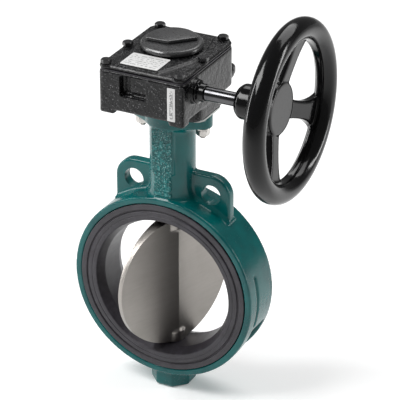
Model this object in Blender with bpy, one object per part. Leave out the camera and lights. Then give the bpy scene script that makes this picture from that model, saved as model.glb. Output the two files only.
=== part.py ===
"""Wafer butterfly valve, DN 150, with a worm gearbox and a handwheel.

Frame: the origin is on the stem axis, at the flat bottom face of the lower boss. X runs along the
handwheel shaft, away from the gearbox; Y runs along the pipe; Z runs up the stem. The disc is
modelled at the angle where it rests, OPEN_ANGLE from closed.

Driving dimensions are in millimetres. The mesh helpers turn them into metres.
"""

import math

import bmesh
import bpy
from mathutils import Matrix, Vector

MM = 0.001
GAP = 0.3

# Ring, liner and disc
RING_Z = 125.0
RING_R = 106.0
RIM_INNER_R = 98.3
RIM_ROOT_R = 101.0
WEB_INNER_R = 83.3
RIM_HALF_WIDTH = 27.5
WEB_HALF_WIDTH = 19.7
LINER_HALF_WIDTH = 28.0
CHANNEL_FLOOR_R = 99.5
CHANNEL_SWEEP = math.radians(52.7)
CHANNEL_STARTS = {"right": math.radians(-72.7), "left": math.radians(200.0)}
GROOVE_FLOOR_R = 104.1
GROOVE_SWEEP = math.radians(34.0)
GROOVE_STARTS = {"right": math.radians(-17.0), "left": math.radians(163.0)}
LINER_FACE_R = 80.0
BORE_R = 75.3
DISC_R = 74.9
DISC_HALF_RIDGE = 9.0
DISC_HALF_EDGE = 2.9
OPEN_ANGLE = math.radians(68)

# Neck, lugs and lower boss, with heights above the ring's centre
NECK_R = 24.5
PAD_Y = -24.3
FLANGE_BOTTOM = 187.5
FLANGE_TOP = 203.0
FLANGE_BOLT_X = 35.5
LUG_X = 45.9
LUG_Z = 110.4
LUG_R = 22.0
LUG_HOLE_R = 11.35
LUG_Y = (-2.0, 10.0)
BOSS_CORNER_R = 25.0

# Stem and its bearings
STEM_R = 9.0
LOWER_STEM_R = 8.0
BUSH_R = 12.0
DISC_HUB_R = 12.5
DISC_SQUARE = 9.4
DRIVE_SQUARE = 12.0
SPIGOT_R = 5.5

# Gearbox, with heights above the ring's centre
BOX_X = 48.5
BOX_FRONT = -70.0
BOX_BACK = 50.0
BOX_BOTTOM = 220.5
BOX_TOP = 263.5
CAVITY_X = 39.3
CAVITY_FRONT = -59.6
CAVITY_BACK = 39.5
CAVITY_FLOOR = 223.0
MOUNT_PLATE_BOTTOM = 205.2
GASKET_THICKNESS = 1.0
COVER_BOTTOM = BOX_TOP + GASKET_THICKNESS + 2 * GAP
COVER_TOP = 269.5
PLATEAU_TOP = 271.0
COVER_BOLTS = [(side * x, y) for x, y in ((42.0, -64.5), (43.8, -15.0), (37.0, 43.5)) for side in (-1, 1)]
FOOT_BOTTOM = 216.0
SHAFT_BOSS_R = 13.0
SHAFT_BOSS_ENDS = {1: 54.0, -1: -50.3}
STUD_HOLE_R = 4.4
STUD_R = 4.0
NUT_BORE_R = 4.3
NUT_FLATS = 13.0
BOLT_HOLE_R = 3.4
HUB_R = 16.0
WHEEL_BUSH_R = 19.0

# Worm gear: one left-hand start, so a clockwise turn of the handwheel closes the valve
MODULE = 3.0
WHEEL_TEETH = 24
WHEEL_PITCH_R = MODULE * WHEEL_TEETH / 2
WORM_PITCH_R = 10.0
WORM_Y = -(WHEEL_PITCH_R + WORM_PITCH_R)
WORM_Z = 249.5
WORM_LEAD = math.pi * MODULE
BACKLASH = 0.5
ADDENDUM = 2.6
DEDENDUM = 3.6
PRESSURE_ANGLE = math.radians(20)
WORM_HALF_LENGTH = 17.0
WHEEL_HALF_FACE = 6.0
STOP_X = 34.0
STOP_Z = 227.5

# Handwheel
SHAFT_R = 7.3
RIM_X = 157.0
RIM_R = 84.0
RIM_TUBE_R = 11.5
SPOKE_HUB_X = (133.5, 143.5)
SPOKE_RIM_X = (145.5, 156.5)
SPOKE_START_R = 14.0
HUB_START_X = 99.0
WHEEL_HUB_R = 18.5
WHEEL_PLATE_R = 28.0
WHEEL_PLATE_X = (134.5, 147.4)
SHAFT_START_X = -49.8
PIN_X = 125.0
PIN_R = 2.5
PIN_HOLE_R = 2.8
PIN_HALF_LENGTH = 18.0
WORM_BUSH_R = 10.7
SHAFT_END_X = 145.9
SPOKE_ANGLES = [math.radians(-23 + 90 * turn) for turn in range(4)]

RING_SEGMENTS = 56
HOLE_SEGMENTS = 20
SMALL_SEGMENTS = 12

PAINTS = {
    "teal_enamel": ((0.010, 0.110, 0.115), 0.30, 0.0),
    "rubber": ((0.040, 0.036, 0.045), 0.60, 0.0),
    "stainless": ((0.62, 0.60, 0.57), 0.28, 1.0),
    "black_enamel": ((0.012, 0.012, 0.013), 0.25, 0.0),
    "bronze": ((0.55, 0.36, 0.15), 0.35, 1.0),
    "steel": ((0.50, 0.50, 0.50), 0.35, 1.0),
    "black_steel": ((0.020, 0.020, 0.022), 0.35, 1.0),
    "pale_gasket": ((0.62, 0.63, 0.61), 0.55, 0.0),
    "label": ((0.80, 0.80, 0.78), 0.45, 0.0),
}


# ---------------------------------------------------------------- materials and meshes


def clear_scene():
    for old in list(bpy.data.objects):
        bpy.data.objects.remove(old, do_unlink=True)


def add_material(target, paint):
    """Give the object a Principled material of its own, in one of the named paints."""
    colour, roughness, metallic = PAINTS[paint]
    material = bpy.data.materials.new(f"{target.name}_{paint}")
    material.use_nodes = True
    shader = material.node_tree.nodes["Principled BSDF"]
    shader.inputs["Base Color"].default_value = (*colour, 1.0)
    shader.inputs["Roughness"].default_value = roughness
    shader.inputs["Metallic"].default_value = metallic
    target.data.materials.append(material)


def mesh_object(name, points, faces, paint=None):
    """An object from millimetre points. Without a paint it is a hidden helper for a Boolean."""
    mesh = bpy.data.meshes.new(name)
    built = bmesh.new()
    corners = [built.verts.new(Vector(point) * MM) for point in points]
    for face in faces:
        built.faces.new([corners[index] for index in face])
    bmesh.ops.recalc_face_normals(built, faces=built.faces)
    built.to_mesh(mesh)
    built.free()
    made = bpy.data.objects.new(name, mesh)
    bpy.context.collection.objects.link(made)
    if paint is None:
        made.hide_render = True
        made.display_type = "WIRE"
    else:
        add_material(made, paint)
        mesh.shade_smooth()
        mesh.set_sharp_from_angle(angle=math.radians(35))
    return made


def loft(name, rings, paint=None):
    """A closed solid through rings that have the same number of points, with a face at each end."""
    count = len(rings[0])
    points = [point for ring in rings for point in ring]
    faces = [list(range(count)), [len(points) - count + index for index in range(count)]]
    for level in range(len(rings) - 1):
        low, high = level * count, (level + 1) * count
        for index in range(count):
            after = (index + 1) % count
            faces.append([low + index, low + after, high + after, high + index])
    return mesh_object(name, points, faces, paint)


def on_axis(axis, along, first, second):
    """The point at a distance along the axis X, Y or Z, with its other two coordinates in order."""
    if axis == "X":
        return (along, first, second)
    if axis == "Y":
        return (first, along, second)
    return (first, second, along)


def prism(name, axis, outline, low, high, paint=None):
    """An outline pushed from low to high along an axis."""
    rings = [[on_axis(axis, level, *corner) for corner in outline] for level in (low, high)]
    return loft(name, rings, paint)


def turned(name, axis, centre, profile, segments, paint=None, start=0.0, sweep=math.tau):
    """A profile of (radius, distance along) points turned about an axis through centre.

    The centre gives the two coordinates across the axis, in order. A full turn closes on itself.
    A radius of nought at both ends of the profile makes a solid piece.
    """
    full = abs(sweep - math.tau) < 1e-9
    steps = segments if full else segments + 1
    solid = profile[0][0] == 0.0 and profile[-1][0] == 0.0
    ring_profile = profile[1:-1] if solid else profile
    points = []
    for step in range(steps):
        angle = start + sweep * step / segments
        for radius, along in ring_profile:
            first = centre[0] + radius * math.cos(angle)
            second = centre[1] + radius * math.sin(angle)
            points.append(on_axis(axis, along, first, second))
    count = len(ring_profile)
    faces = []
    for step in range(segments):
        low, high = step * count, (step + 1) % steps * count
        for index in range(count - 1 if solid else count):
            after = (index + 1) % count
            faces.append([low + index, low + after, high + after, high + index])
    if solid:
        for index in (0, count - 1):
            faces.append([step * count + index for step in range(steps)])
    if not full:
        faces.append(list(range(count)))
        faces.append([segments * count + index for index in range(count)])
    return mesh_object(name, points, faces, paint)


def rod(name, axis, centre, radius, low, high, segments=HOLE_SEGMENTS, paint=None, start=0.0):
    profile = [(0.0, low), (radius, low), (radius, high), (0.0, high)]
    return turned(name, axis, centre, profile, segments, paint, start)


def sleeve(name, axis, centre, inner, outer, low, high, paint):
    profile = [(inner, low), (outer, low), (outer, high), (inner, high)]
    return turned(name, axis, centre, profile, HOLE_SEGMENTS, paint)


def box(name, x_range, y_range, z_range, paint=None):
    outline = [(x_range[i], y_range[j]) for i, j in ((0, 0), (1, 0), (1, 1), (0, 1))]
    return prism(name, "Z", outline, *z_range, paint)


def arc(centre, radius, start, stop, steps):
    """Points on an arc, angles in degrees."""
    angles = [math.radians(start + (stop - start) * step / steps) for step in range(steps + 1)]
    return [(centre[0] + radius * math.cos(a), centre[1] + radius * math.sin(a)) for a in angles]


def rounded_box_outline(half_x, front, back, radii):
    """A rectangle with a round corner at front right, back right, back left and front left."""
    outline = []
    for radius, x_side, y_edge, y_side, start in (
        (radii[0], 1, front, 1, -90),
        (radii[1], 1, back, -1, 0),
        (radii[1], -1, back, -1, 90),
        (radii[0], -1, front, 1, 180),
    ):
        centre = (x_side * (half_x - radius), y_edge + y_side * radius)
        outline += arc(centre, radius, start, start + 90, 4)
    return outline


def square_outline(side):
    half = side / 2
    return [(-half, -half), (half, -half), (half, half), (-half, half)]


def turned_outline(outline, angle):
    cos, sin = math.cos(angle), math.sin(angle)
    return [(x * cos - y * sin, x * sin + y * cos) for x, y in outline]


def boolean(target, helper, operation):
    cut = target.modifiers.new(f"{operation.lower()}_{helper.name}", "BOOLEAN")
    cut.operation = operation
    cut.solver = "EXACT"
    cut.object = helper


def fuse(target, *helpers):
    for helper in helpers:
        boolean(target, helper, "UNION")


def carve(target, *helpers):
    for helper in helpers:
        boolean(target, helper, "DIFFERENCE")


def axis_empty(name, location):
    """An empty on a joint's axis, which carries the pieces that move about it."""
    empty = bpy.data.objects.new(name, None)
    empty.location = Vector(location) * MM
    bpy.context.collection.objects.link(empty)
    return empty


def carry(empty, *pieces):
    """Parent pieces to the empty without moving them."""
    for piece in pieces:
        piece.parent = empty
        piece.matrix_parent_inverse = Matrix.Translation(-empty.location)


def at_ring(height):
    return RING_Z + height


# ---------------------------------------------------------------- valve body and seat


def build_body():
    profile = [
        (WEB_INNER_R, -WEB_HALF_WIDTH),
        (RIM_INNER_R, -WEB_HALF_WIDTH),
        (RIM_INNER_R, -RIM_HALF_WIDTH),
        (RING_R - 0.8, -RIM_HALF_WIDTH),
        (RING_R, -RIM_HALF_WIDTH + 0.8),
        (RING_R, RIM_HALF_WIDTH - 0.8),
        (RING_R - 0.8, RIM_HALF_WIDTH),
        (RIM_INNER_R, RIM_HALF_WIDTH),
        (RIM_INNER_R, WEB_HALF_WIDTH),
        (WEB_INNER_R, WEB_HALF_WIDTH),
    ]
    body = turned("valve_body", "Y", (0, RING_Z), profile, RING_SEGMENTS, "teal_enamel")
    fuse(body, lug_plate(), lower_boss(), *neck_shapes(), flange_shape())
    carve(body, *ring_recesses(), *body_bores())
    return body


def ring_recesses():
    """The channel between the two rims either side of the lower boss, and a groove above each channel."""
    clear = RING_R + 6
    channel = [(CHANNEL_FLOOR_R, -10.0), (clear, -10.0), (clear, 19.0), (CHANNEL_FLOOR_R, 19.0)]
    groove = [(GROOVE_FLOOR_R, -10.8), (clear, -10.8), (clear, -7.5), (GROOVE_FLOOR_R, -7.5)]
    centre = (0, RING_Z)
    for side, start in CHANNEL_STARTS.items():
        yield turned(f"channel_cutter_{side}", "Y", centre, channel, 9, start=start, sweep=CHANNEL_SWEEP)
    for side, start in GROOVE_STARTS.items():
        yield turned(f"groove_cutter_{side}", "Y", centre, groove, 9, start=start, sweep=GROOVE_SWEEP)


def lug_plate():
    """Both upper locating lugs and the web that joins them to the ring and the neck."""
    outline = [(LUG_X + LUG_R, 76.0)]
    outline += arc((LUG_X, LUG_Z), LUG_R, 0, 90, 8)
    outline += arc((-LUG_X, LUG_Z), LUG_R, 90, 180, 8)
    outline += [(-LUG_X - LUG_R, 76.0), (-LUG_X, 90.0), (LUG_X, 90.0)]
    raised = [(x, at_ring(z)) for x, z in outline]
    return prism("lug_plate", "Y", raised, *LUG_Y)


def lower_boss():
    """An eight-sided boss with its lower edge chamfered, closed below by the plug."""
    top = at_ring(-RIM_ROOT_R)
    profile = [(0.0, 0.0), (BOSS_CORNER_R - 2, 0.0), (BOSS_CORNER_R, 2.5), (BOSS_CORNER_R, top), (0.0, top)]
    return turned("lower_boss", "Z", (0, 0), profile, 8, start=math.pi / 8)


def neck_shapes():
    yield rod("neck", "Z", (0, 0), NECK_R, at_ring(RIM_ROOT_R), at_ring(FLANGE_BOTTOM + 4), 32)
    yield box("upper_pad", (-13.5, 13.5), (PAD_Y, 0), (at_ring(136), at_ring(FLANGE_BOTTOM + 2)))
    yield box("lower_pad", (-9.7, 9.7), (PAD_Y - 0.6, 0), (at_ring(RIM_ROOT_R), at_ring(140)))


def flange_shape():
    """The top flange: a round middle with an ear round each bolt."""
    outline = arc((FLANGE_BOLT_X, 0), 10.5, -75, 75, 8)
    outline += arc((0, 0), 29.0, 40, 140, 8)
    outline += arc((-FLANGE_BOLT_X, 0), 10.5, 105, 255, 8)
    outline += arc((0, 0), 29.0, 220, 320, 8)
    return prism("top_flange", "Z", outline, at_ring(FLANGE_BOTTOM), at_ring(FLANGE_TOP))


def body_bores():
    yield rod("upper_stem_bore", "Z", (0, 0), BUSH_R + GAP, RING_Z, at_ring(210))
    yield rod("lower_stem_bore", "Z", (0, 0), BUSH_R + GAP, -5, RING_Z)
    for side in (-1, 1):
        yield rod(f"lug_hole_{side}", "Y", (side * LUG_X, at_ring(LUG_Z)), LUG_HOLE_R, -10, 20)
        yield rod(f"flange_hole_{side}", "Z", (side * FLANGE_BOLT_X, 0), STUD_HOLE_R, at_ring(180), at_ring(210), 16)


def build_seat_liner():
    """A rubber seat that lines the bore and covers both pipe faces inside the rims."""
    half = [
        (WEB_INNER_R - GAP, WEB_HALF_WIDTH + GAP),
        (RIM_INNER_R - GAP, WEB_HALF_WIDTH + GAP),
        (RIM_INNER_R - GAP, LINER_HALF_WIDTH),
        (91.7, LINER_HALF_WIDTH),
        (91.2, LINER_HALF_WIDTH - 1.5),
        (90.3, LINER_HALF_WIDTH - 1.5),
        (89.8, LINER_HALF_WIDTH),
        (LINER_FACE_R, LINER_HALF_WIDTH),
        (BORE_R, 16.0),
    ]
    profile = half + [(radius, -along) for radius, along in reversed(half)]
    liner = turned("seat_liner", "Y", (0, RING_Z), profile, RING_SEGMENTS, "rubber")
    carve(
        liner,
        rod("liner_upper_hole", "Z", (0, 0), STEM_R + GAP, at_ring(60), at_ring(90)),
        rod("liner_lower_hole", "Z", (0, 0), LOWER_STEM_R + GAP, at_ring(-90), at_ring(-60)),
    )
    return liner


# ---------------------------------------------------------------- disc, stems and bearings


def disc_half_thickness(across):
    """Half the disc's thickness at a distance from its ridge: steep by the ridge, flat by the edge."""
    return DISC_HALF_EDGE + (DISC_HALF_RIDGE - DISC_HALF_EDGE) * (1 - abs(across) / DISC_R) ** 1.6


def disc_edge_radius(angle):
    """The face's outer radius at an angle, so that its edge stays inside the disc's sphere."""
    radius = DISC_R
    for _ in range(6):
        radius = math.sqrt(DISC_R**2 - disc_half_thickness(radius * math.cos(angle)) ** 2)
    return radius


def disc_shell():
    """Points and faces of the plain disc, lying in X and Z about its own centre."""
    around, shares = 48, (0.25, 0.5, 0.75, 0.92, 1.0)
    points, faces = [], []
    for side in (-1, 1):
        points.append((0.0, side * DISC_HALF_RIDGE, 0.0))
        for share in shares:
            for step in range(around):
                angle = math.tau * step / around
                radius = share * disc_edge_radius(angle)
                across = radius * math.cos(angle)
                points.append((across, side * disc_half_thickness(across), radius * math.sin(angle)))
    per_side = 1 + len(shares) * around
    for base in (0, per_side):
        for step in range(around):
            after = (step + 1) % around
            faces.append([base, base + 1 + step, base + 1 + after])
            for ring in range(len(shares) - 1):
                low, high = base + 1 + ring * around, base + 1 + (ring + 1) * around
                faces.append([low + step, low + after, high + after, high + step])
    outer = 1 + (len(shares) - 1) * around
    for step in range(around):
        after = (step + 1) % around
        faces.append([outer + step, outer + after, per_side + outer + after, per_side + outer + step])
    return points, faces


def build_disc(stem_axis):
    disc = mesh_object("disc", *disc_shell(), "stainless")
    helpers = []
    for side in (-1, 1):
        end = math.sqrt(DISC_R**2 - DISC_HUB_R**2)
        profile = [(radius, side * along) for radius, along in (
            (0.0, 40.0), (8.5, 44.0), (DISC_HUB_R, 62.0), (DISC_HUB_R, end), (0.0, end),
        )]
        helpers.append(turned(f"disc_hub_{side}", "Z", (0, 0), profile, HOLE_SEGMENTS))
    fuse(disc, *helpers)
    square_hole = prism("disc_square_hole", "Z", square_outline(DISC_SQUARE + 2 * GAP), 48, 80)
    spigot_hole = rod("disc_spigot_hole", "Z", (0, 0), SPIGOT_R + GAP, -80, -48)
    carve(disc, square_hole, spigot_hole)
    for piece in (disc, *helpers, square_hole, spigot_hole):
        piece.parent = stem_axis
        piece.rotation_euler.z = OPEN_ANGLE
    return disc


def build_upper_stem():
    """Round through the neck, with one square end in the disc and another in the worm wheel."""
    stem = rod("upper_stem", "Z", (0, 0), STEM_R, at_ring(75.5), at_ring(224), paint="stainless")
    disc_end = turned_outline(square_outline(DISC_SQUARE), OPEN_ANGLE)
    drive_end = turned_outline(square_outline(DRIVE_SQUARE), OPEN_ANGLE)
    fuse(
        stem,
        prism("stem_disc_end", "Z", disc_end, at_ring(49), at_ring(80)),
        prism("stem_drive_end", "Z", drive_end, at_ring(220), at_ring(261)),
    )
    return stem


def build_lower_stem():
    profile = [
        (0.0, at_ring(-113)),
        (LOWER_STEM_R - 1, at_ring(-113)),
        (LOWER_STEM_R, at_ring(-112)),
        (LOWER_STEM_R, at_ring(-75.5)),
        (SPIGOT_R, at_ring(-75.5)),
        (SPIGOT_R, at_ring(-49)),
        (0.0, at_ring(-49)),
    ]
    return turned("lower_stem", "Z", (0, 0), profile, HOLE_SEGMENTS, "stainless")


def o_ring(name, axis, centre, radius, wire_radius, along, segments=HOLE_SEGMENTS):
    corners = arc((radius, along), wire_radius, 0, 300, 5)
    return turned(name, axis, centre, corners, segments, "rubber")


def build_stem_bearings():
    sleeve("upper_bush", "Z", (0, 0), STEM_R + GAP, BUSH_R, at_ring(86), at_ring(130), "bronze")
    o_ring("upper_o_ring", "Z", (0, 0), 10.65, 1.3, at_ring(133))
    sleeve("top_bush", "Z", (0, 0), STEM_R + GAP, BUSH_R, at_ring(162), at_ring(200), "bronze")
    sleeve("lower_bush", "Z", (0, 0), LOWER_STEM_R + GAP, BUSH_R, at_ring(-111), at_ring(-86), "bronze")
    o_ring("plug_o_ring", "Z", (0, 0), 10.4, 1.3, at_ring(-115.2))
    plug = rod("bottom_plug", "Z", (0, 0), BUSH_R, 0, 7.8, paint="steel")
    carve(plug, *(rod(f"spanner_hole_{side}", "Z", (side * 7.5, 0), 1.6, -2, 4, 8) for side in (-1, 1)))


# ---------------------------------------------------------------- top joint


def build_top_joint():
    gasket = prism(
        "top_flange_gasket", "Z", rounded_box_outline(46.5, -26.0, 26.0, (10, 10)),
        at_ring(FLANGE_TOP + GAP), at_ring(MOUNT_PLATE_BOTTOM - GAP), "pale_gasket",
    )
    carve(gasket, rod("gasket_bore", "Z", (0, 0), WHEEL_BUSH_R + 1, at_ring(200), at_ring(208)))
    for side, tag in ((-1, "left"), (1, "right")):
        x = side * FLANGE_BOLT_X
        hole = rod(f"gasket_hole_{tag}", "Z", (x, 0), STUD_HOLE_R, at_ring(200), at_ring(208), SMALL_SEGMENTS)
        carve(gasket, hole)
        rod(f"flange_stud_{tag}", "Z", (x, 0), STUD_R, at_ring(175.5), at_ring(214), SMALL_SEGMENTS, "stainless")
        nut(f"flange_nut_{tag}", "Z", (x, 0), NUT_BORE_R, NUT_FLATS, at_ring(178.8), at_ring(185.3), "stainless")
        sleeve(f"flange_washer_{tag}", "Z", (x, 0), NUT_BORE_R, 8.0, at_ring(185.6), at_ring(187.2), "stainless")


def hexagon(across_flats):
    corner = across_flats / 2 / math.cos(math.pi / 6)
    return [(corner * math.cos(math.pi / 3 * k), corner * math.sin(math.pi / 3 * k)) for k in range(6)]


def nut(name, axis, centre, bore, across_flats, low, high, paint):
    outline = [(centre[0] + a, centre[1] + b) for a, b in hexagon(across_flats)]
    made = prism(name, axis, outline, low, high, paint)
    carve(made, rod(f"{name}_bore", axis, centre, bore, low - 1, high + 1, SMALL_SEGMENTS))
    return made


# ---------------------------------------------------------------- gearbox


def build_housing():
    outline = rounded_box_outline(BOX_X, BOX_FRONT, BOX_BACK, (5, 12))
    housing = prism("gearbox_housing", "Z", outline, at_ring(BOX_BOTTOM), at_ring(BOX_TOP), "black_enamel")
    fuse(housing, *housing_additions())
    carve(housing, *housing_cutters())
    return housing


def housing_additions():
    """The plate that bolts to the valve, two feet, the shaft bosses and the stop screw bosses."""
    plate = rounded_box_outline(46.5, -33.0, 36.0, (12, 12))
    yield prism("mount_plate", "Z", plate, at_ring(MOUNT_PLATE_BOTTOM), at_ring(BOX_BOTTOM + 2))
    for side in (-1, 1):
        across = sorted((side * 31.0, side * (BOX_X - GAP)))
        yield box(f"foot_{side}", across, (BOX_FRONT + GAP, -54.0), (at_ring(FOOT_BOTTOM), at_ring(BOX_BOTTOM + 2)))
        ends = (side * 44, SHAFT_BOSS_ENDS[side])
        yield rod(f"shaft_boss_{side}", "X", (WORM_Y, at_ring(WORM_Z)), SHAFT_BOSS_R, *ends, 24)
        yield rod(f"stop_boss_{side}", "Y", (side * STOP_X, at_ring(STOP_Z)), 9.5, 44, 60, 20)


def housing_cutters():
    cavity = rounded_box_outline(CAVITY_X, CAVITY_FRONT, CAVITY_BACK, (3, 3))
    yield prism("cavity", "Z", cavity, at_ring(CAVITY_FLOOR), at_ring(BOX_TOP + 5))
    yield rod("wheel_bush_bore", "Z", (0, 0), WHEEL_BUSH_R + GAP, at_ring(200), at_ring(CAVITY_FLOOR + 3))
    yield rod("worm_bore", "X", (WORM_Y, at_ring(WORM_Z)), 11.0, -60, 60)
    yield box("front_pocket", (-24, 6), (BOX_FRONT - 5, BOX_FRONT + 3.5), (at_ring(238), at_ring(261)))
    yield box("front_slot", (-24, -12), (BOX_FRONT - 5, BOX_FRONT + 8.5), (at_ring(239), at_ring(260)))
    for side in (-1, 1):
        x = side * FLANGE_BOLT_X
        yield rod(f"stud_hole_{side}", "Z", (x, 0), STUD_HOLE_R, at_ring(200), at_ring(215), 16)
        yield rod(f"stop_hole_{side}", "Y", (side * STOP_X, at_ring(STOP_Z)), STUD_HOLE_R, 30, 70, 16)
    for index, centre in enumerate(COVER_BOLTS):
        yield rod(f"bolt_hole_{index}", "Z", centre, BOLT_HOLE_R, at_ring(250), at_ring(BOX_TOP + 5), 12)


def build_housing_gasket():
    outline = rounded_box_outline(BOX_X - 0.5, BOX_FRONT + 0.5, BOX_BACK - 0.5, (5, 12))
    low = at_ring(BOX_TOP + GAP)
    gasket = prism("housing_gasket", "Z", outline, low, low + GASKET_THICKNESS, "rubber")
    opening = rounded_box_outline(CAVITY_X, CAVITY_FRONT, CAVITY_BACK, (3, 3))
    carve(gasket, prism("gasket_opening", "Z", opening, low - 2, low + 4))
    for index, centre in enumerate(COVER_BOLTS):
        carve(gasket, rod(f"gasket_bolt_hole_{index}", "Z", centre, BOLT_HOLE_R, low - 2, low + 4, 12))


def build_cover():
    def level(inset, height):
        outline = rounded_box_outline(BOX_X - inset, BOX_FRONT + inset, BOX_BACK - inset, (5, 12))
        return [(x, y, at_ring(height)) for x, y in outline]

    rings = [level(0, COVER_BOTTOM), level(0, COVER_TOP - 1.2), level(1.2, COVER_TOP)]
    cover = loft("gearbox_cover", rings, "black_enamel")
    plateau = [(-33, -66), (17, -66), (36, -24), (36, 8), (28, 40), (-28, 40), (-35, 8), (-35, -24)]
    fuse(cover, prism("plateau", "Z", plateau, at_ring(COVER_TOP - 1), at_ring(PLATEAU_TOP)))
    carve(cover, rod("indicator_bore", "Z", (0, 0), 12.5, at_ring(260), at_ring(275)))
    for index, centre in enumerate(COVER_BOLTS):
        carve(cover, rod(f"cover_hole_{index}", "Z", centre, BOLT_HOLE_R, at_ring(260), at_ring(275), 12))
        cover_bolt(index + 1, centre)
    return cover


def cover_bolt(number, centre):
    """A hexagon-headed M6 screw."""
    under_head = at_ring(COVER_TOP + GAP)
    bolt = rod(f"cover_bolt_{number}", "Z", centre, 3.0, at_ring(252), under_head + 1, 12, "black_steel")
    head = [(centre[0] + a, centre[1] + b) for a, b in hexagon(10.0)]
    fuse(bolt, prism(f"cover_bolt_head_{number}", "Z", head, under_head, under_head + 4.2))


def involute(angle):
    return math.tan(angle) - angle


def tooth_half_angle(radius):
    """Half the angle that a wheel tooth takes up at a radius, from its involute flank."""
    base_radius = WHEEL_PITCH_R * math.cos(PRESSURE_ANGLE)
    at_pitch = (math.pi * MODULE / 2 - BACKLASH) / 2 / WHEEL_PITCH_R + involute(PRESSURE_ANGLE)
    if radius <= base_radius:
        return at_pitch
    return at_pitch - involute(math.acos(base_radius / radius))


def wheel_outline():
    """A sector of ten teeth that faces the worm over the whole quarter turn, on a round hub."""
    pitch = math.tau / WHEEL_TEETH
    root, tip = WHEEL_PITCH_R - DEDENDUM, WHEEL_PITCH_R + ADDENDUM
    flank = [root, WHEEL_PITCH_R - 1.0, WHEEL_PITCH_R + 1.0, tip]
    outline = []
    for tooth in range(-4, 6):
        middle = -math.pi / 2 + (tooth - 0.5) * pitch + pitch
        rising = [(radius, middle - tooth_half_angle(radius)) for radius in flank]
        falling = [(radius, middle + tooth_half_angle(radius)) for radius in reversed(flank)]
        outline += [(r * math.cos(a), r * math.sin(a)) for r, a in rising + falling]
    return outline + arc((0, 0), HUB_R + 4, 8, 202, 14)


def build_worm_wheel():
    """The sector's teeth lean at the worm's lead angle. Its arm meets the stop screws."""
    rings = []
    for height in (-WHEEL_HALF_FACE, 0.0, WHEEL_HALF_FACE):
        lean = -WORM_LEAD / (math.tau * WORM_PITCH_R) * height / WHEEL_PITCH_R
        rings.append([(x, y, at_ring(WORM_Z + height)) for x, y in turned_outline(wheel_outline(), lean)])
    wheel = loft("worm_wheel", rings, "bronze")
    hub = rod("wheel_hub", "Z", (0, 0), HUB_R, at_ring(206), at_ring(262))
    arm = turned_outline([(0, -5), (37, -5), (37, 5), (0, 5)], math.radians(113))
    stop_arm = prism("stop_arm", "Z", arm, at_ring(STOP_Z - 3.5), at_ring(STOP_Z + 3.5))
    fuse(wheel, hub, stop_arm)
    bore = turned_outline(square_outline(DRIVE_SQUARE + 2 * GAP), OPEN_ANGLE)
    carve(wheel, prism("wheel_square_bore", "Z", bore, at_ring(222.5), at_ring(270)))
    carve(wheel, rod("wheel_round_bore", "Z", (0, 0), STEM_R + GAP, at_ring(200), at_ring(224.5)))
    return wheel


def build_worm_shaft():
    """The worm and the input shaft in one piece, with a cross hole for the handwheel's pin."""
    shaft = rod("worm_shaft", "X", (WORM_Y, at_ring(WORM_Z)), SHAFT_R - 1.0, SHAFT_START_X, SHAFT_END_X, paint="steel")
    fuse(shaft, worm_thread(), *shaft_journals())
    carve(shaft, rod("shaft_pin_hole", "Z", (PIN_X, WORM_Y), PIN_HOLE_R, at_ring(WORM_Z - 30), at_ring(WORM_Z + 30), 12))
    return shaft


def shaft_journals():
    centre = (WORM_Y, at_ring(WORM_Z))
    yield rod("inner_journal", "X", centre, SHAFT_R, SHAFT_START_X, -WORM_HALF_LENGTH - 6)
    yield rod("outer_journal", "X", centre, SHAFT_R, WORM_HALF_LENGTH + 6, SHAFT_END_X)


def worm_thread():
    """One left-hand thread: a trapezium swept along a helix, narrower at its crest."""
    steps_per_turn = 18
    turns = 2 * WORM_HALF_LENGTH / WORM_LEAD
    steps = round(turns * steps_per_turn)
    half_pitch_width = (WORM_LEAD / 2 - BACKLASH) / 2
    crest_r, foot_r = WORM_PITCH_R + ADDENDUM, SHAFT_R - 1.8
    section = []
    for radius, side in ((foot_r, -1), (crest_r, -1), (crest_r, 1), (foot_r, 1)):
        half_width = half_pitch_width - (radius - WORM_PITCH_R) * math.tan(PRESSURE_ANGLE)
        section.append((radius, side * half_width))
    rings = []
    for step in range(steps + 1):
        turn = (step / steps_per_turn) - turns / 2
        angle = -math.tau * turn
        ring = []
        for radius, along in section:
            y = WORM_Y + radius * math.cos(angle)
            z = at_ring(WORM_Z) + radius * math.sin(angle)
            ring.append((turn * WORM_LEAD + along, y, z))
        rings.append(ring)
    return loft("worm_thread", rings)


def build_gear_bearings():
    centre = (WORM_Y, at_ring(WORM_Z))
    sleeve("wheel_bush", "Z", (0, 0), HUB_R + GAP, WHEEL_BUSH_R, at_ring(206), at_ring(222), "bronze")
    sleeve("inner_worm_bush", "X", centre, SHAFT_R + GAP, WORM_BUSH_R, SHAFT_START_X, -40.5, "bronze")
    sleeve("outer_worm_bush", "X", centre, SHAFT_R + GAP, WORM_BUSH_R, 40.5, 53.5, "bronze")
    rod("worm_end_cap", "X", centre, 11.5, -54.0, -50.6, paint="black_enamel")
    sleeve("shaft_seal", "X", centre, SHAFT_R + GAP, 9.4, 54.0, 63.0, "rubber")


def build_stop_screws():
    for side, tag in ((-1, "left"), (1, "right")):
        centre = (side * STOP_X, at_ring(STOP_Z))
        rod(f"stop_screw_{tag}", "Y", centre, STUD_R, 26.5, 69.0, SMALL_SEGMENTS, "black_steel")
        nut(f"stop_nut_{tag}", "Y", centre, NUT_BORE_R, NUT_FLATS, 60.3, 66.3, "black_steel")


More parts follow.
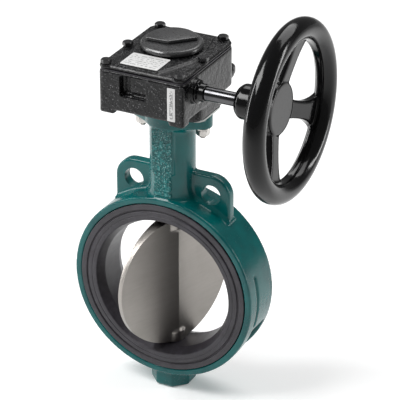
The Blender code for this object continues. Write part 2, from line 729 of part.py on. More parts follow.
def build_indicator():
    """A round cap that turns with the stem, and the raised pointer plate on it."""
    low = PLATEAU_TOP + GAP
    profile = [
        (0.0, at_ring(262.3)),
        (12.0, at_ring(262.3)),
        (12.0, at_ring(low)),
        (30.5, at_ring(low)),
        (32.7, at_ring(low + 1.5)),
        (32.7, at_ring(low + 5.0)),
        (30.8, at_ring(low + 6.7)),
        (0.0, at_ring(low + 6.7)),
    ]
    cap = turned("indicator_cap", "Z", (0, 0), profile, 40, "black_enamel")
    outline = [(2.0, -11.0)] + arc((0, 0), 27.0, 27, 207, 16)
    top = low + 6.7 + GAP
    pointer = prism("indicator_pointer", "Z", outline, at_ring(top), at_ring(top + 3.2), "black_enamel")
    return cap, pointer


def build_labels():
    box("nameplate", (-27, 16), (-63.5, -33.5), (at_ring(PLATEAU_TOP + GAP), at_ring(PLATEAU_TOP + 1.1)), "label")
    box("side_label", (31, 40), (BOX_FRONT - 0.9, BOX_FRONT - GAP), (at_ring(222.5), at_ring(259)), "label")


# ---------------------------------------------------------------- handwheel


def build_handwheel():
    centre = (WORM_Y, at_ring(WORM_Z))
    rim_section = arc((RIM_R, RIM_X), RIM_TUBE_R, 0, 324, 9)
    wheel = turned("handwheel", "X", centre, rim_section, RING_SEGMENTS, "black_enamel")
    fuse(wheel, *(spoke(number, angle) for number, angle in enumerate(SPOKE_ANGLES)))
    hub_profile = [
        (0.0, HUB_START_X),
        (WHEEL_HUB_R - 4, HUB_START_X),
        (WHEEL_HUB_R, HUB_START_X + 4),
        (WHEEL_HUB_R, WHEEL_PLATE_X[0] - 3),
        (WHEEL_PLATE_R, WHEEL_PLATE_X[0]),
        (WHEEL_PLATE_R, WHEEL_PLATE_X[1] - 1.4),
        (WHEEL_PLATE_R - 1.5, WHEEL_PLATE_X[1]),
        (0.0, WHEEL_PLATE_X[1]),
    ]
    fuse(wheel, turned("wheel_centre", "X", centre, hub_profile, 32))
    carve(wheel, rod("wheel_bore", "X", centre, SHAFT_R + GAP, HUB_START_X - 5, SHAFT_END_X + GAP))
    pin_hole = rod("wheel_pin_hole", "Z", (PIN_X, WORM_Y), PIN_HOLE_R, at_ring(WORM_Z - 30), at_ring(WORM_Z + 30), 12)
    carve(wheel, pin_hole)
    pin_ends = (at_ring(WORM_Z - PIN_HALF_LENGTH), at_ring(WORM_Z + PIN_HALF_LENGTH))
    pin = rod("handwheel_pin", "Z", (PIN_X, WORM_Y), PIN_R, *pin_ends, 12, "steel")
    return wheel, pin


def spoke(number, angle):
    """A flat spoke that widens into the rim, and leans outwards from the hub to the rim's middle."""
    outer, waist = RIM_R - 2, 42.0
    low_side, high_side = [], []
    for step in range(9):
        radius = SPOKE_START_R + (outer - SPOKE_START_R) * step / 8
        flare = (radius - waist) / (outer - waist)
        half_width = 9.5 + 9.0 * flare**2
        low_side.append((radius, -half_width))
        high_side.append((radius, half_width))
    flat = low_side + high_side[::-1]
    faces = []
    for hub_x, rim_x in zip(SPOKE_HUB_X, SPOKE_RIM_X):
        depths = [hub_x + (rim_x - hub_x) * (radius - SPOKE_START_R) / (outer - SPOKE_START_R) for radius, _ in flat]
        outline = turned_outline(flat, angle)
        faces.append([(x, WORM_Y + y, at_ring(WORM_Z) + z) for x, (y, z) in zip(depths, outline)])
    return loft(f"spoke_{number}", faces)


def main():
    clear_scene()
    stem_axis = axis_empty("stem_axis", (0, 0, RING_Z))
    handwheel_axis = axis_empty("handwheel_axis", (RIM_X, WORM_Y, at_ring(WORM_Z)))
    build_body()
    build_seat_liner()
    build_disc(stem_axis)
    build_stem_bearings()
    build_top_joint()
    build_housing()
    build_housing_gasket()
    build_cover()
    build_gear_bearings()
    build_stop_screws()
    build_labels()
    carry(stem_axis, build_upper_stem(), build_lower_stem(), build_worm_wheel(), *build_indicator())
    carry(handwheel_axis, build_worm_shaft(), *build_handwheel())


main()
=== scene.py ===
"""Finished looks of the wafer butterfly valve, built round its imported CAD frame.

Lengths are in millimetres, in the frame's own directions: X along the handwheel shaft, Y along the
pipe, Z up the stem. Heights in the classes are measured from the ring's centre. The mesh writer
turns points into metres, and only lights are placed in metres. Each sub-assembly is a class that
builds its own pieces.
"""

import logging
import math
from dataclasses import dataclass, field
from enum import Enum
from typing import Any, Callable, Optional, Sequence, Union

import bmesh
import bpy
import numpy as np
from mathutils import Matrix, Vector


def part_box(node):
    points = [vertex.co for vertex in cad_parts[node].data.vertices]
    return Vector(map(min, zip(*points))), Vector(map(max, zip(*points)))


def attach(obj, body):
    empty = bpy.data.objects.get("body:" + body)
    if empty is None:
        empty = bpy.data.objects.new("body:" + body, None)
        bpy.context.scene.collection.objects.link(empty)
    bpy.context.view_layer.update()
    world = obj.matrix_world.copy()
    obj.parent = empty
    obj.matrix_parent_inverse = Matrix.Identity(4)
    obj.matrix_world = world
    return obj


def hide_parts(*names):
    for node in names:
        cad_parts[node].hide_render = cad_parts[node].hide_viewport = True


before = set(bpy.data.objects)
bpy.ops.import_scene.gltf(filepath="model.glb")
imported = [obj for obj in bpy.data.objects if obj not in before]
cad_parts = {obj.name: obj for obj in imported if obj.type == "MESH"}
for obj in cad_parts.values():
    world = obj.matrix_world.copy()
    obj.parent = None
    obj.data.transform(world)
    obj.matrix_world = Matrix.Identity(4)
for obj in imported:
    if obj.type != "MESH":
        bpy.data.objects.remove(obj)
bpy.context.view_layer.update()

LOG = logging.getLogger("valve")
MM = 0.001
OPEN_ANGLE = math.radians(68)
CAST_CREASE = 50.0
M8_R, M8_PITCH = 4.0, 1.25
M8_FLATS, M8_CLEAR_R, M8_HOLE_R = 13.0, 4.3, 4.4
SIDES = ((-1, "left"), (1, "right"))
STUD_X = 35.5
Array = np.ndarray
Pair = tuple[float, float]
Triple = tuple[float, float, float]
Piece, Material, Socket = bpy.types.Object, bpy.types.Material, bpy.types.NodeSocket


class Axis(Enum):
    """A direction, with the columns of the point along it and across it, in order."""

    X = (0, 1, 2)
    Y = (1, 0, 2)
    Z = (2, 0, 1)


class Body(Enum):
    """The bodies that pieces ride on."""

    VALVE = "valve"
    STEM = "stem"
    INPUT = "input"


# --- surfaces on a grid


@dataclass
class Surface:
    """A closed surface: points in millimetres, four-sided faces and flat many-sided caps."""

    points: Array
    quads: Array
    caps: list[Array] = field(default_factory=list)

    def moved(self, x: float = 0.0, y: float = 0.0, z: float = 0.0) -> "Surface":
        """Return the surface pushed along the three axes."""
        return Surface(self.points + np.array([x, y, z]), self.quads, self.caps)

    def turned_about_z(self, angle: float) -> "Surface":
        """Turn the surface about Z through the origin.

        Args:
            angle: The angle in radians.

        Returns:
            The turned surface.
        """
        cos, sin = math.cos(angle), math.sin(angle)
        turn = np.array([[cos, sin, 0.0], [-sin, cos, 0.0], [0.0, 0.0, 1.0]])
        return Surface(self.points @ turn, self.quads, self.caps)


def joined(surfaces: Sequence[Surface]) -> Surface:
    """Put several surfaces into one, with their faces renumbered.

    Args:
        surfaces: Closed surfaces, which may run into each other.

    Returns:
        One surface that holds them all.
    """
    starts = np.cumsum([0] + [len(one.points) for one in surfaces])
    points = np.vstack([one.points for one in surfaces])
    quads = np.vstack([one.quads + start for one, start in zip(surfaces, starts)])
    caps = [cap + start for one, start in zip(surfaces, starts) for cap in one.caps]
    return Surface(points, quads, caps)


def grid(points: Array, wrap_rows: bool, wrap_columns: bool) -> Surface:
    """Join a grid of points into a closed surface.

    Each square of the grid is a face. A direction that wraps joins its last line to its first;
    the two ends of a direction that doesn't wrap are closed with flat caps.

    Args:
        points: Rows by columns by three.
        wrap_rows: Whether the last row meets the first.
        wrap_columns: Whether the last column meets the first.

    Returns:
        The closed surface.
    """
    rows, columns = points.shape[:2]
    index = np.arange(rows * columns).reshape(rows, columns)
    low = index if wrap_rows else index[:-1]
    high = np.roll(index, -1, axis=0) if wrap_rows else index[1:]
    if wrap_columns:
        corners = (low, np.roll(low, -1, axis=1), np.roll(high, -1, axis=1), high)
    else:
        corners = (low[:, :-1], low[:, 1:], high[:, 1:], high[:, :-1])
    quads = np.stack(corners, axis=-1).reshape(-1, 4)
    caps = []
    if not wrap_rows:
        caps += [index[0], index[-1]]
    if not wrap_columns:
        caps += [index[:, 0], index[:, -1]]
    return Surface(points.reshape(-1, 3), quads, caps)


def placed(axis: Axis, along: Array, first: Array, second: Array) -> Array:
    """Stack coordinates given along and across an axis into points in X, Y and Z.

    Args:
        axis: The axis that the first coordinate runs along.
        along: Coordinates along the axis.
        first: Coordinates in the first direction across it.
        second: Coordinates in the second direction across it.

    Returns:
        The points, with X, Y and Z in the last dimension.
    """
    shape = np.broadcast_shapes(np.shape(along), np.shape(first), np.shape(second))
    points = np.empty(shape + (3,))
    for column, values in zip(axis.value, (along, first, second)):
        points[..., column] = values
    return points


def polar(axis: Axis, along: Array, radius: Array, angle: Array,
          centre: Sequence[float] = (0.0, 0.0)) -> Array:
    """Points at a radius and an angle round an axis that runs through a centre."""
    return placed(axis, along, centre[0] + np.cos(angle) * radius, centre[1] + np.sin(angle) * radius)


def rounded(line: Sequence[Sequence[float]], radius: float, steps: int = 4, closed: bool = True) -> Array:
    """Round the corners of a line.

    At each corner the line leaves one edge and joins the next along the curve
    (1 - t)^2 a + 2 t (1 - t) corner + t^2 b, where a and b lie on the edges at the radius from
    the corner, or at 45% of a shorter edge.

    Args:
        line: The corners in order.
        radius: How far from each corner the curve starts.
        steps: The number of stretches in each curve.
        closed: Whether the last corner joins the first; otherwise both ends stay as they are.

    Returns:
        The rounded line's points.
    """
    corner = np.asarray(line, float)
    before, after = np.roll(corner, 1, axis=0) - corner, np.roll(corner, -1, axis=0) - corner
    cut_before = np.minimum(radius, 0.45 * np.linalg.norm(before, axis=1))
    cut_after = np.minimum(radius, 0.45 * np.linalg.norm(after, axis=1))
    if not closed:
        cut_before[[0, -1]] = cut_after[[0, -1]] = 0.0
    unit_before = before / np.maximum(np.linalg.norm(before, axis=1), 1e-9)[:, None]
    unit_after = after / np.maximum(np.linalg.norm(after, axis=1), 1e-9)[:, None]
    start = corner + unit_before * cut_before[:, None]
    end = corner + unit_after * cut_after[:, None]
    t = np.linspace(0.0, 1.0, steps + 1)[None, :, None]
    curves = (1 - t) ** 2 * start[:, None] + 2 * t * (1 - t) * corner[:, None] + t**2 * end[:, None]
    if closed:
        return curves.reshape(-1, 2)
    return np.vstack([corner[:1], curves[1:-1].reshape(-1, 2), corner[-1:]])


def rectangle(across: Sequence[float], along: Sequence[float], radius: float) -> Array:
    """A rectangle between two spans, with its corners rounded."""
    (left, right), (low, high) = across, along
    return rounded([(left, low), (right, low), (right, high), (left, high)], radius)


def arc(centre: Sequence[float], radius: float, start: float, stop: float, count: int = 24) -> Array:
    """Points on an arc from one angle to another, both in degrees."""
    angle = np.radians(np.linspace(start, stop, count))
    return np.stack([centre[0] + radius * np.cos(angle), centre[1] + radius * np.sin(angle)], axis=1)


def resampled(outline: Array, spacing: float) -> Array:
    """Add points along the edges of a closed outline, so that none is longer than the spacing.

    Args:
        outline: The closed outline's points.
        spacing: The longest step to allow.

    Returns:
        The outline with the added points.
    """
    pieces = []
    for start, end in zip(outline, np.roll(outline, -1, axis=0)):
        count = max(1, math.ceil(np.linalg.norm(end - start) / spacing))
        pieces.append(start + (end - start) * np.linspace(0, 1, count, endpoint=False)[:, None])
    return np.vstack(pieces)


def turned(
    profile: Array,
    axis: Axis,
    centre: Sequence[float] = (0.0, 0.0),
    segments: int = 128,
    closed: bool = True,
    start: float = 0.0,
    sweep: float = math.tau,
) -> Surface:
    """Turn a profile about an axis: each point goes round at its own radius.

    Args:
        profile: Radius and distance along the axis, one row for each point.
        axis: The direction of the axis.
        centre: Where the axis runs, in the two directions across it.
        segments: Steps round the axis.
        closed: Whether the profile is a loop; otherwise its ends become flat caps.
        start: The first angle, in radians.
        sweep: How far to turn; less than a full turn leaves two flat ends.

    Returns:
        The turned surface.
    """
    full = abs(sweep - math.tau) < 1e-9
    count = segments if full else segments + 1
    angle = start + sweep * np.linspace(0.0, 1.0, count, endpoint=not full)
    radius, along = np.asarray(profile, float).T
    return grid(polar(axis, along, radius, angle[:, None], centre), full, closed)


def capped(line: Sequence[Sequence[float]], corner: float, axis: Axis,
           centre: Sequence[float] = (0.0, 0.0), segments: int = 96, steps: int = 4) -> Surface:
    """Turn an open line about an axis, with its corners rounded and its two ends closed."""
    return turned(rounded(line, corner, steps, closed=False), axis, centre, segments, closed=False)


def two_faced(half: Sequence[Pair], corner: float, height: float, segments: int) -> Surface:
    """Turn half a profile, together with its mirror image, about the pipe's axis at a height."""
    line = list(half) + [(radius, -along) for radius, along in reversed(half)]
    return turned(rounded(line[::-1], corner), Axis.Y, (0.0, height), segments)


def rod(radius: float, low: float, high: float, axis: Axis, centre: Sequence[float] = (0.0, 0.0),
        edge: float = 0.0, segments: int = 64) -> Surface:
    """A round bar with its end edges rounded by the given amount.

    Args:
        radius: The bar's radius.
        low: The lower end along the axis.
        high: The upper end along the axis.
        axis: The direction of its axis.
        centre: Where the axis runs, in the two directions across it.
        edge: The radius of its end edges.
        segments: Steps round the axis.

    Returns:
        The closed bar.
    """
    line = [(radius * 0.2, low), (radius, low), (radius, high), (radius * 0.2, high)]
    profile = rounded(line, edge, 4, closed=False) if edge else np.array(line)
    return turned(profile, axis, centre, segments, closed=False)


def ring(inner: float, outer: float, low: float, high: float, axis: Axis,
         centre: Sequence[float] = (0.0, 0.0), edge: float = 0.3, segments: int = 64) -> Surface:
    """A sleeve or washer with rounded edges."""
    return turned(rectangle((inner, outer), (low, high), edge), axis, centre, segments)


def inset(outline: Array, distance: Union[float, Array]) -> Array:
    """Move a closed outline inwards along its own normals.

    The normal at a point is at right angles to the line between its two neighbours.

    Args:
        outline: The outline's points, anticlockwise.
        distance: One distance, or an array that gives one outline for each.

    Returns:
        One outline, or a stack of them.
    """
    tangent = np.roll(outline, -1, axis=0) - np.roll(outline, 1, axis=0)
    tangent = tangent / np.maximum(np.linalg.norm(tangent, axis=1), 1e-9)[:, None]
    inward = np.stack([-tangent[:, 1], tangent[:, 0]], axis=1)
    return outline + np.asarray(distance)[..., None, None] * inward


def slab(outline: Array, low: float, high: float, axis: Axis, edge: float = 1.0, steps: int = 5) -> Surface:
    """Push an outline along an axis, with both rims rounded to a quarter circle.

    A level at angle t of the rim is moved in by edge (1 - cos t) and lies edge (1 - sin t) from
    the end.

    Args:
        outline: The outline across the axis, anticlockwise.
        low: The lower end along the axis.
        high: The upper end along the axis.
        axis: The direction of the push.
        edge: The rim's radius.
        steps: Levels in each rim; two give a flat chamfer.

    Returns:
        The closed slab.
    """
    following = np.roll(outline, -1, axis=0)
    area = np.sum(outline[:, 0] * following[:, 1] - outline[:, 1] * following[:, 0])
    outline = outline if area > 0 else outline[::-1]
    t = np.linspace(math.pi / 2, 0.0, steps)
    moved_in = edge * (1 - np.cos(t))
    rise = edge * (1 - np.sin(t))
    levels = np.concatenate([low + rise, (high - rise)[::-1]])
    outlines = inset(outline, np.concatenate([moved_in, moved_in[::-1]]))
    points = placed(axis, levels[:, None], outlines[..., 0], outlines[..., 1])
    return grid(points, False, True)


def hexagonal(across_flats: float, low: float, high: float, axis: Axis, centre: Sequence[float],
              bore: float = 0.0, chamfer_low: bool = False) -> Surface:
    """A hexagon with its corners turned off, as on a bolt head or a nut.

    At each angle the radius is the hexagon's, limited by a cone that is widest away from the
    chamfered end: min(flat / cos(angle to the nearest flat), cone radius at this height).

    Args:
        across_flats: The spanner size.
        low: The lower end along the axis.
        high: The upper end along the axis, which is always chamfered.
        axis: The direction of the axis.
        centre: Where the axis runs.
        bore: The hole's radius, or nought for none.
        chamfer_low: Whether the lower end is chamfered too.

    Returns:
        The closed head or nut.
    """
    angle = np.linspace(0.0, math.tau, 96, endpoint=False)[:, None]
    flat = across_flats / 2
    depth = 0.16 * flat
    levels = np.array([low, low + depth / 2, low + depth, high - depth, high - depth / 2, high])
    cone = flat * np.array(([1.0, 1.09, 1.2] if chamfer_low else [1.2, 1.2, 1.2]) + [1.2, 1.09, 0.97])
    radius = np.minimum(flat / np.cos((angle + math.pi / 6) % (math.pi / 3) - math.pi / 6), cone)
    if bore:
        radius = np.concatenate([radius, np.full((len(radius), 2), bore)], axis=1)
        levels = np.concatenate([levels, [high, low]])
    return grid(polar(axis, levels, radius, angle, centre), True, bool(bore))


def threaded_rod(low: float, high: float, axis: Axis, centre: Sequence[float]) -> Surface:
    """An M8 stud whose radius falls and rises once a pitch, in step with the angle.

    The radius at an angle and a height is r - pitch / 2 |2 frac(height / pitch - angle / turn) - 1|,
    and both ends taper in over the last pitch.

    Args:
        low: The lower end along the axis.
        high: The upper end along the axis.
        axis: The direction of its axis.
        centre: Where the axis runs, in the two directions across it.

    Returns:
        The closed stud.
    """
    count = max(8, int((high - low) / M8_PITCH * 6))
    along = np.linspace(low, high, count)[None, :]
    angle = np.linspace(0, math.tau, 36, endpoint=False)[:, None]
    wave = np.abs(2 * ((along / M8_PITCH - angle / math.tau) % 1.0) - 1)
    taper = np.minimum(np.minimum(along - low, high - along) / M8_PITCH, 1.0)
    size = (M8_R - 0.5 * M8_PITCH * wave) * (0.8 + 0.2 * taper)
    return grid(polar(axis, along, size, angle, centre), True, False)


def m8_nut(low: float, high: float, axis: Axis, centre: Sequence[float]) -> Surface:
    """A nut for that stud, chamfered at both ends."""
    return hexagonal(M8_FLATS, low, high, axis, centre, M8_CLEAR_R, True)


# --- objects and castings


def write_object(name: str, surface: Surface) -> Piece:
    """Write a surface to a new object, in metres, with its faces out and shaded smooth.

    Args:
        name: The object's name.
        surface: The surface, in millimetres.

    Returns:
        The new object.
    """
    mesh = bpy.data.meshes.new(name)
    faces = surface.quads.tolist() + [cap.tolist() for cap in surface.caps]
    mesh.from_pydata((surface.points * MM).tolist(), [], faces)
    built = bmesh.new()
    built.from_mesh(mesh)
    bmesh.ops.recalc_face_normals(built, faces=built.faces)
    built.to_mesh(mesh)
    built.free()
    mesh.shade_smooth()
    made = bpy.data.objects.new(name, mesh)
    bpy.context.scene.collection.objects.link(made)
    return made


def settle(piece: Piece) -> None:
    """Replace a piece's mesh with what its modifiers make of it, and take the modifiers off.

    Args:
        piece: The piece with its modifiers.
    """
    graph = bpy.context.evaluated_depsgraph_get()
    final = bpy.data.meshes.new_from_object(piece.evaluated_get(graph))
    piece.modifiers.clear()
    old, piece.data = piece.data, final
    bpy.data.meshes.remove(old)
    final.name = piece.name


def cut(piece: Piece, surfaces: Sequence[Surface]) -> None:
    """Cut closed shapes out of a piece, with crisp edges where they meet it.

    Args:
        piece: The piece to cut.
        surfaces: The closed shapes to take out of it.
    """
    tools = []
    for number, surface in enumerate(surfaces):
        tool = write_object(f"{piece.name}_tool_{number}", surface)
        modifier = piece.modifiers.new(tool.name, "BOOLEAN")
        modifier.operation = "DIFFERENCE"
        modifier.object = tool
        tools.append(tool)
    settle(piece)
    for tool in tools:
        bpy.data.objects.remove(tool, do_unlink=True)


def crease(piece: Piece, angle: float = CAST_CREASE) -> Piece:
    """Shade a piece smooth and keep its edges over an angle in degrees sharp.

    Args:
        piece: The piece to shade.
        angle: The angle between faces from which an edge stays sharp.

    Returns:
        The same piece.
    """
    piece.data.shade_smooth()
    piece.data.set_sharp_from_angle(angle=math.radians(angle))
    return piece


def grow_skin(piece: Piece, voxel: float, smoothing: int) -> None:
    """Give a piece one even skin, whose corners a smoothing pass rounds as a mould does.

    Args:
        piece: The piece to grow together.
        voxel: The skin's grid spacing, in millimetres.
        smoothing: How many times the corners are smoothed.
    """
    skin = piece.modifiers.new("skin", "REMESH")
    skin.mode = "VOXEL"
    skin.voxel_size = voxel * MM
    skin.use_smooth_shade = True
    soften = piece.modifiers.new("soften", "SMOOTH")
    soften.factor = 0.5
    soften.iterations = smoothing
    settle(piece)


@dataclass
class Casting:
    """A cast piece: shapes grown together, moulded hollows, then machined holes."""

    name: str
    shapes: list[Surface]
    hollows: list[Surface] = field(default_factory=list)
    holes: list[Surface] = field(default_factory=list)
    voxel: float = 1.1
    smoothing: int = 4

    def build(self) -> Piece:
        """Grow the shapes together, then cut the hollows and the holes.

        Returns:
            The finished casting.
        """
        piece = write_object(self.name, joined(self.shapes))
        if self.hollows:
            grow_skin(piece, self.voxel, 0)
            cut(piece, self.hollows)
        grow_skin(piece, self.voxel, self.smoothing)
        if self.holes:
            cut(piece, self.holes)
        return crease(piece)


# --- shader maths


def operator(operation: str, swapped: bool = False) -> Callable[["Signal", Any], "Signal"]:
    """Make an operator of a signal that adds one Math node, with its two sides swapped if asked."""

    def apply(signal: "Signal", other: Any) -> "Signal":
        """Join a signal and a number or another signal in one Math node.

        Args:
            signal: The side that the operator belongs to.
            other: A number or a second signal.

        Returns:
            The signal that the node puts out.
        """
        first, second = (other, signal) if swapped else (signal, other)
        made = signal.bench.node("ShaderNodeMath", {"operation": operation}, {0: first, 1: second})
        return Signal(signal.bench, made.outputs[0])

    return apply


class Signal:
    """A number that varies over a surface: a socket whose sums add Math nodes."""

    def __init__(self, bench: "Bench", socket: Socket) -> None:
        """Wrap a socket of a bench's material."""
        self.bench = bench
        self.socket = socket

    __add__ = __radd__ = operator("ADD")
    __sub__ = operator("SUBTRACT")
    __rsub__ = operator("SUBTRACT", swapped=True)
    __mul__ = __rmul__ = operator("MULTIPLY")
    __gt__ = operator("GREATER_THAN")
    __mod__ = operator("FLOORED_MODULO")


class Bench:
    """Builds one material's nodes."""

    def __init__(self, name: str) -> None:
        """Start a material with its Principled shader.

        Args:
            name: The material's name.
        """
        self.material = bpy.data.materials.new(name)
        self.material.use_nodes = True
        self.tree = self.material.node_tree
        self.shader = self.tree.nodes["Principled BSDF"]
        self.where = self.node("ShaderNodeTexCoord").outputs["Object"]

    def node(
        self,
        kind: str,
        settings: Optional[dict[str, Any]] = None,
        inputs: Optional[dict[Union[int, str], Any]] = None,
    ) -> bpy.types.Node:
        """Add a node.

        Args:
            kind: The node's type.
            settings: Its own settings, which are set first.
            inputs: Values or links for its sockets, by name or number.

        Returns:
            The node.
        """
        made = self.tree.nodes.new(kind)
        for key, value in (settings or {}).items():
            setattr(made, key, value)
        for key, value in (inputs or {}).items():
            self.feed(made.inputs[key], value)
        return made

    def feed(self, target: Socket, value: Any) -> None:
        """Link a signal or a socket to a target, or set a plain value on it."""
        if isinstance(value, Signal):
            value = value.socket
        if isinstance(value, Socket):
            self.tree.links.new(value, target)
        elif isinstance(value, (tuple, list)) and len(value) == 3 and target.type == "RGBA":
            target.default_value = (*value, 1.0)
        else:
            target.default_value = value

    def noise(self, scale: float, detail: float = 2.0, roughness: float = 0.5,
              stretch: Sequence[float] = (1.0, 1.0, 1.0)) -> Signal:
        """Noise from nought to one, with a scale per metre, stretched along the axes.

        Args:
            scale: Features in a metre.
            detail: How many finer layers are added.
            roughness: How strong each finer layer is.
            stretch: What X, Y and Z are multiplied by first.

        Returns:
            The noise.
        """
        spread = self.node(
            "ShaderNodeMapping", {"vector_type": "POINT"}, {"Vector": self.where, "Scale": tuple(stretch)},
        )
        made = self.node(
            "ShaderNodeTexNoise",
            {"noise_dimensions": "3D"},
            {"Vector": spread.outputs[0], "Scale": scale, "Detail": detail, "Roughness": roughness},
        )
        return Signal(self, made.outputs[0])

    def place(self) -> tuple[Signal, Signal, Signal]:
        """The object's own X, Y and Z, in metres."""
        split = self.node("ShaderNodeSeparateXYZ", None, {0: self.where})
        return tuple(Signal(self, split.outputs[index]) for index in range(3))

    def step(self, value: Signal, low: float, high: float) -> Signal:
        """Nought below low, one above high, and a smooth climb between."""
        made = self.node(
            "ShaderNodeMapRange",
            {"interpolation_type": "SMOOTHSTEP"},
            {"Value": value, "From Min": low, "From Max": high},
        )
        return Signal(self, made.outputs[0])

    def within(self, value: Signal, low: float, high: float, soft: float) -> Signal:
        """One between low and high, falling to nought over a soft edge."""
        return self.step(value, low - soft, low + soft) * (1.0 - self.step(value, high - soft, high + soft))

    def blend(self, factor: Signal, first: Any, second: Any) -> Socket:
        """Mix two colours."""
        made = self.node("ShaderNodeMix", {"data_type": "RGBA"}, {"Factor": factor, 6: first, 7: second})
        return made.outputs[2]

    def bump(self, height: Signal, depth: float, under: Optional[Socket] = None
             ) -> Socket:
        """A normal from a height, whose depth is in millimetres.

        Args:
            height: The height, from nought to one.
            depth: How far a height of one stands out.
            under: A normal that the bump is added to.

        Returns:
            The normal.
        """
        inputs = {"Height": height, "Distance": depth * MM, "Strength": 1.0}
        if under is not None:
            inputs["Normal"] = under
        return self.node("ShaderNodeBump", None, inputs).outputs[0]

    def dress(self, **values: Any) -> Material:
        """Set the Principled shader's sockets, by name with underscores for spaces."""
        for key, value in values.items():
            self.feed(self.shader.inputs[key.replace("_", " ").title().replace("Ior", "IOR")], value)
        return self.material


# --- finishes


@dataclass(frozen=True)
class Enamel:
    """Gloss paint over a casting: an uneven coat, a sandy grain below it and rough cast patches, with
    painted glints and painted highlights where asked.
    """

    name: str
    colour: Triple
    shade: Triple
    roughness: float
    grain: float
    ripple: float
    patch: Optional[tuple[Pair, Pair, Pair]] = None
    patch_depth: float = 0.5
    coat: float = 0.2
    specular: float = 0.4
    grain_scale: float = 420.0
    # How strongly light grey specks are mixed into the colour: painted glints off the rough cast paint.
    fleck_and_glint: float = 0.0

    def material(self) -> Material:
        """Build the paint.

        Returns:
            The paint.
        """
        bench = Bench(self.name)
        cloud = bench.noise(34.0, 3.0, 0.6)
        fine = bench.noise(900.0, 3.0, 0.65)
        sand = bench.step(bench.noise(self.grain_scale, 3.0, 0.65), 0.3, 0.7)
        ripple = bench.step(bench.noise(110.0, 2.0, 0.5), 0.25, 0.75)
        colour = bench.blend(bench.step(cloud, 0.35, 0.7), self.colour, self.shade)
        if self.fleck_and_glint:
            # Light grey specks painted into the colour stand in for glints of light off the rough casting.
            painted_glints = bench.step(bench.noise(620.0, 2.0, 0.75), 0.60, 0.72)
            colour = bench.blend(painted_glints * self.fleck_and_glint, colour, (0.30, 0.30, 0.31))
        normal = bench.bump(ripple, self.ripple)
        normal = bench.bump(sand * 0.7 + fine * 0.3, self.grain, normal)
        roughness = self.roughness + (cloud - 0.5) * 0.12 + (sand - 0.5) * 0.1
        if self.patch:
            mask = self._patch_mask(bench)
            lumps = bench.step(bench.noise(250.0, 2.0, 0.75, (1.0, 0.4, 1.0)), 0.44, 0.56)
            normal = bench.bump(lumps * mask, self.patch_depth, normal)
            # The raised lumps are painted lighter and the glints pale teal: painted highlights on the rough
            # cast patch.
            colour = bench.blend(lumps * mask * 0.35, colour, tuple(min(1.0, c * 2.2) for c in self.colour))
            glints = bench.step(bench.noise(480.0, 2.0, 0.75), 0.57, 0.63)
            colour = bench.blend(glints * mask * 0.6, colour, (0.22, 0.48, 0.47))
        return bench.dress(
            base_color=colour, roughness=roughness, normal=normal, coat_weight=self.coat, coat_roughness=0.1,
            specular_ior_level=self.specular,
        )

    def _patch_mask(self, bench: Bench) -> Signal:
        """One inside the rough patch, whose ranges along X, Y and Z are in millimetres.

        Args:
            bench: The bench that the paint is made on.

        Returns:
            The mask.
        """
        mask = None
        for value, (low, high) in zip(bench.place(), self.patch):
            band = bench.within(value, low * MM, high * MM, 0.0006)
            mask = band if mask is None else mask * band
        return mask


@dataclass(frozen=True)
class MouldedRubber:
    """Dark rubber from a mould, with a dusty bloom."""

    name: str
    colour: Triple = (0.017, 0.015, 0.020)
    bloom: Triple = (0.034, 0.031, 0.039)

    def material(self) -> Material:
        """Build the rubber.

        Returns:
            The rubber.
        """
        bench = Bench(self.name)
        cloud = bench.noise(48.0, 4.0, 0.6)
        pores = bench.noise(1500.0, 2.0, 0.6)
        scuff = bench.noise(260.0, 3.0, 0.6, (1.0, 0.3, 1.0))
        colour = bench.blend(bench.step(cloud * 0.6 + scuff * 0.4, 0.38, 0.66), self.colour, self.bloom)
        normal = bench.bump(bench.noise(150.0, 2.0), 0.05)
        normal = bench.bump(pores, 0.035, normal)
        return bench.dress(base_color=colour, roughness=0.42 + (scuff - 0.5) * 0.25, normal=normal)


@dataclass(frozen=True)
class GroundSteel:
    """Stainless steel ground in one direction: long scratches, faint clouds and duller rubs."""

    name: str
    colour: Triple = (0.32, 0.30, 0.28)
    dull: Triple = (0.28, 0.265, 0.245)
    stretch: Triple = (0.08, 0.08, 1.0)
    roughness: float = 0.34
    scratch: float = 0.0035

    def material(self) -> Material:
        """Build the steel.

        Returns:
            The steel.
        """
        bench = Bench(self.name)
        lines = bench.noise(1400.0, 3.0, 0.7, self.stretch)
        broad = bench.noise(300.0, 2.0, 0.6, self.stretch)
        cloud = bench.noise(26.0, 3.0, 0.6)
        colour = bench.blend(bench.step(cloud * 0.7 + broad * 0.3, 0.3, 0.75), self.colour, self.dull)
        normal = bench.bump(lines, self.scratch)
        roughness = self.roughness + (lines - 0.5) * 0.10 + (cloud - 0.5) * 0.10
        return bench.dress(base_color=colour, metallic=1.0, roughness=roughness, normal=normal)


@dataclass(frozen=True)
class TurnedMetal:
    """Machined bright metal with fine rings of tool marks round its axis."""

    name: str
    colour: Triple
    stain: Triple
    roughness: float = 0.28

    def material(self) -> Material:
        """Build the metal.

        Returns:
            The metal.
        """
        bench = Bench(self.name)
        marks = bench.noise(1100.0, 2.0, 0.6)
        cloud = bench.noise(70.0, 3.0, 0.6)
        colour = bench.blend(bench.step(cloud, 0.4, 0.72), self.colour, self.stain)
        normal = bench.bump(marks, 0.012)
        roughness = self.roughness + (marks - 0.5) * 0.15 + (cloud - 0.5) * 0.15
        return bench.dress(base_color=colour, metallic=1.0, roughness=roughness, normal=normal)


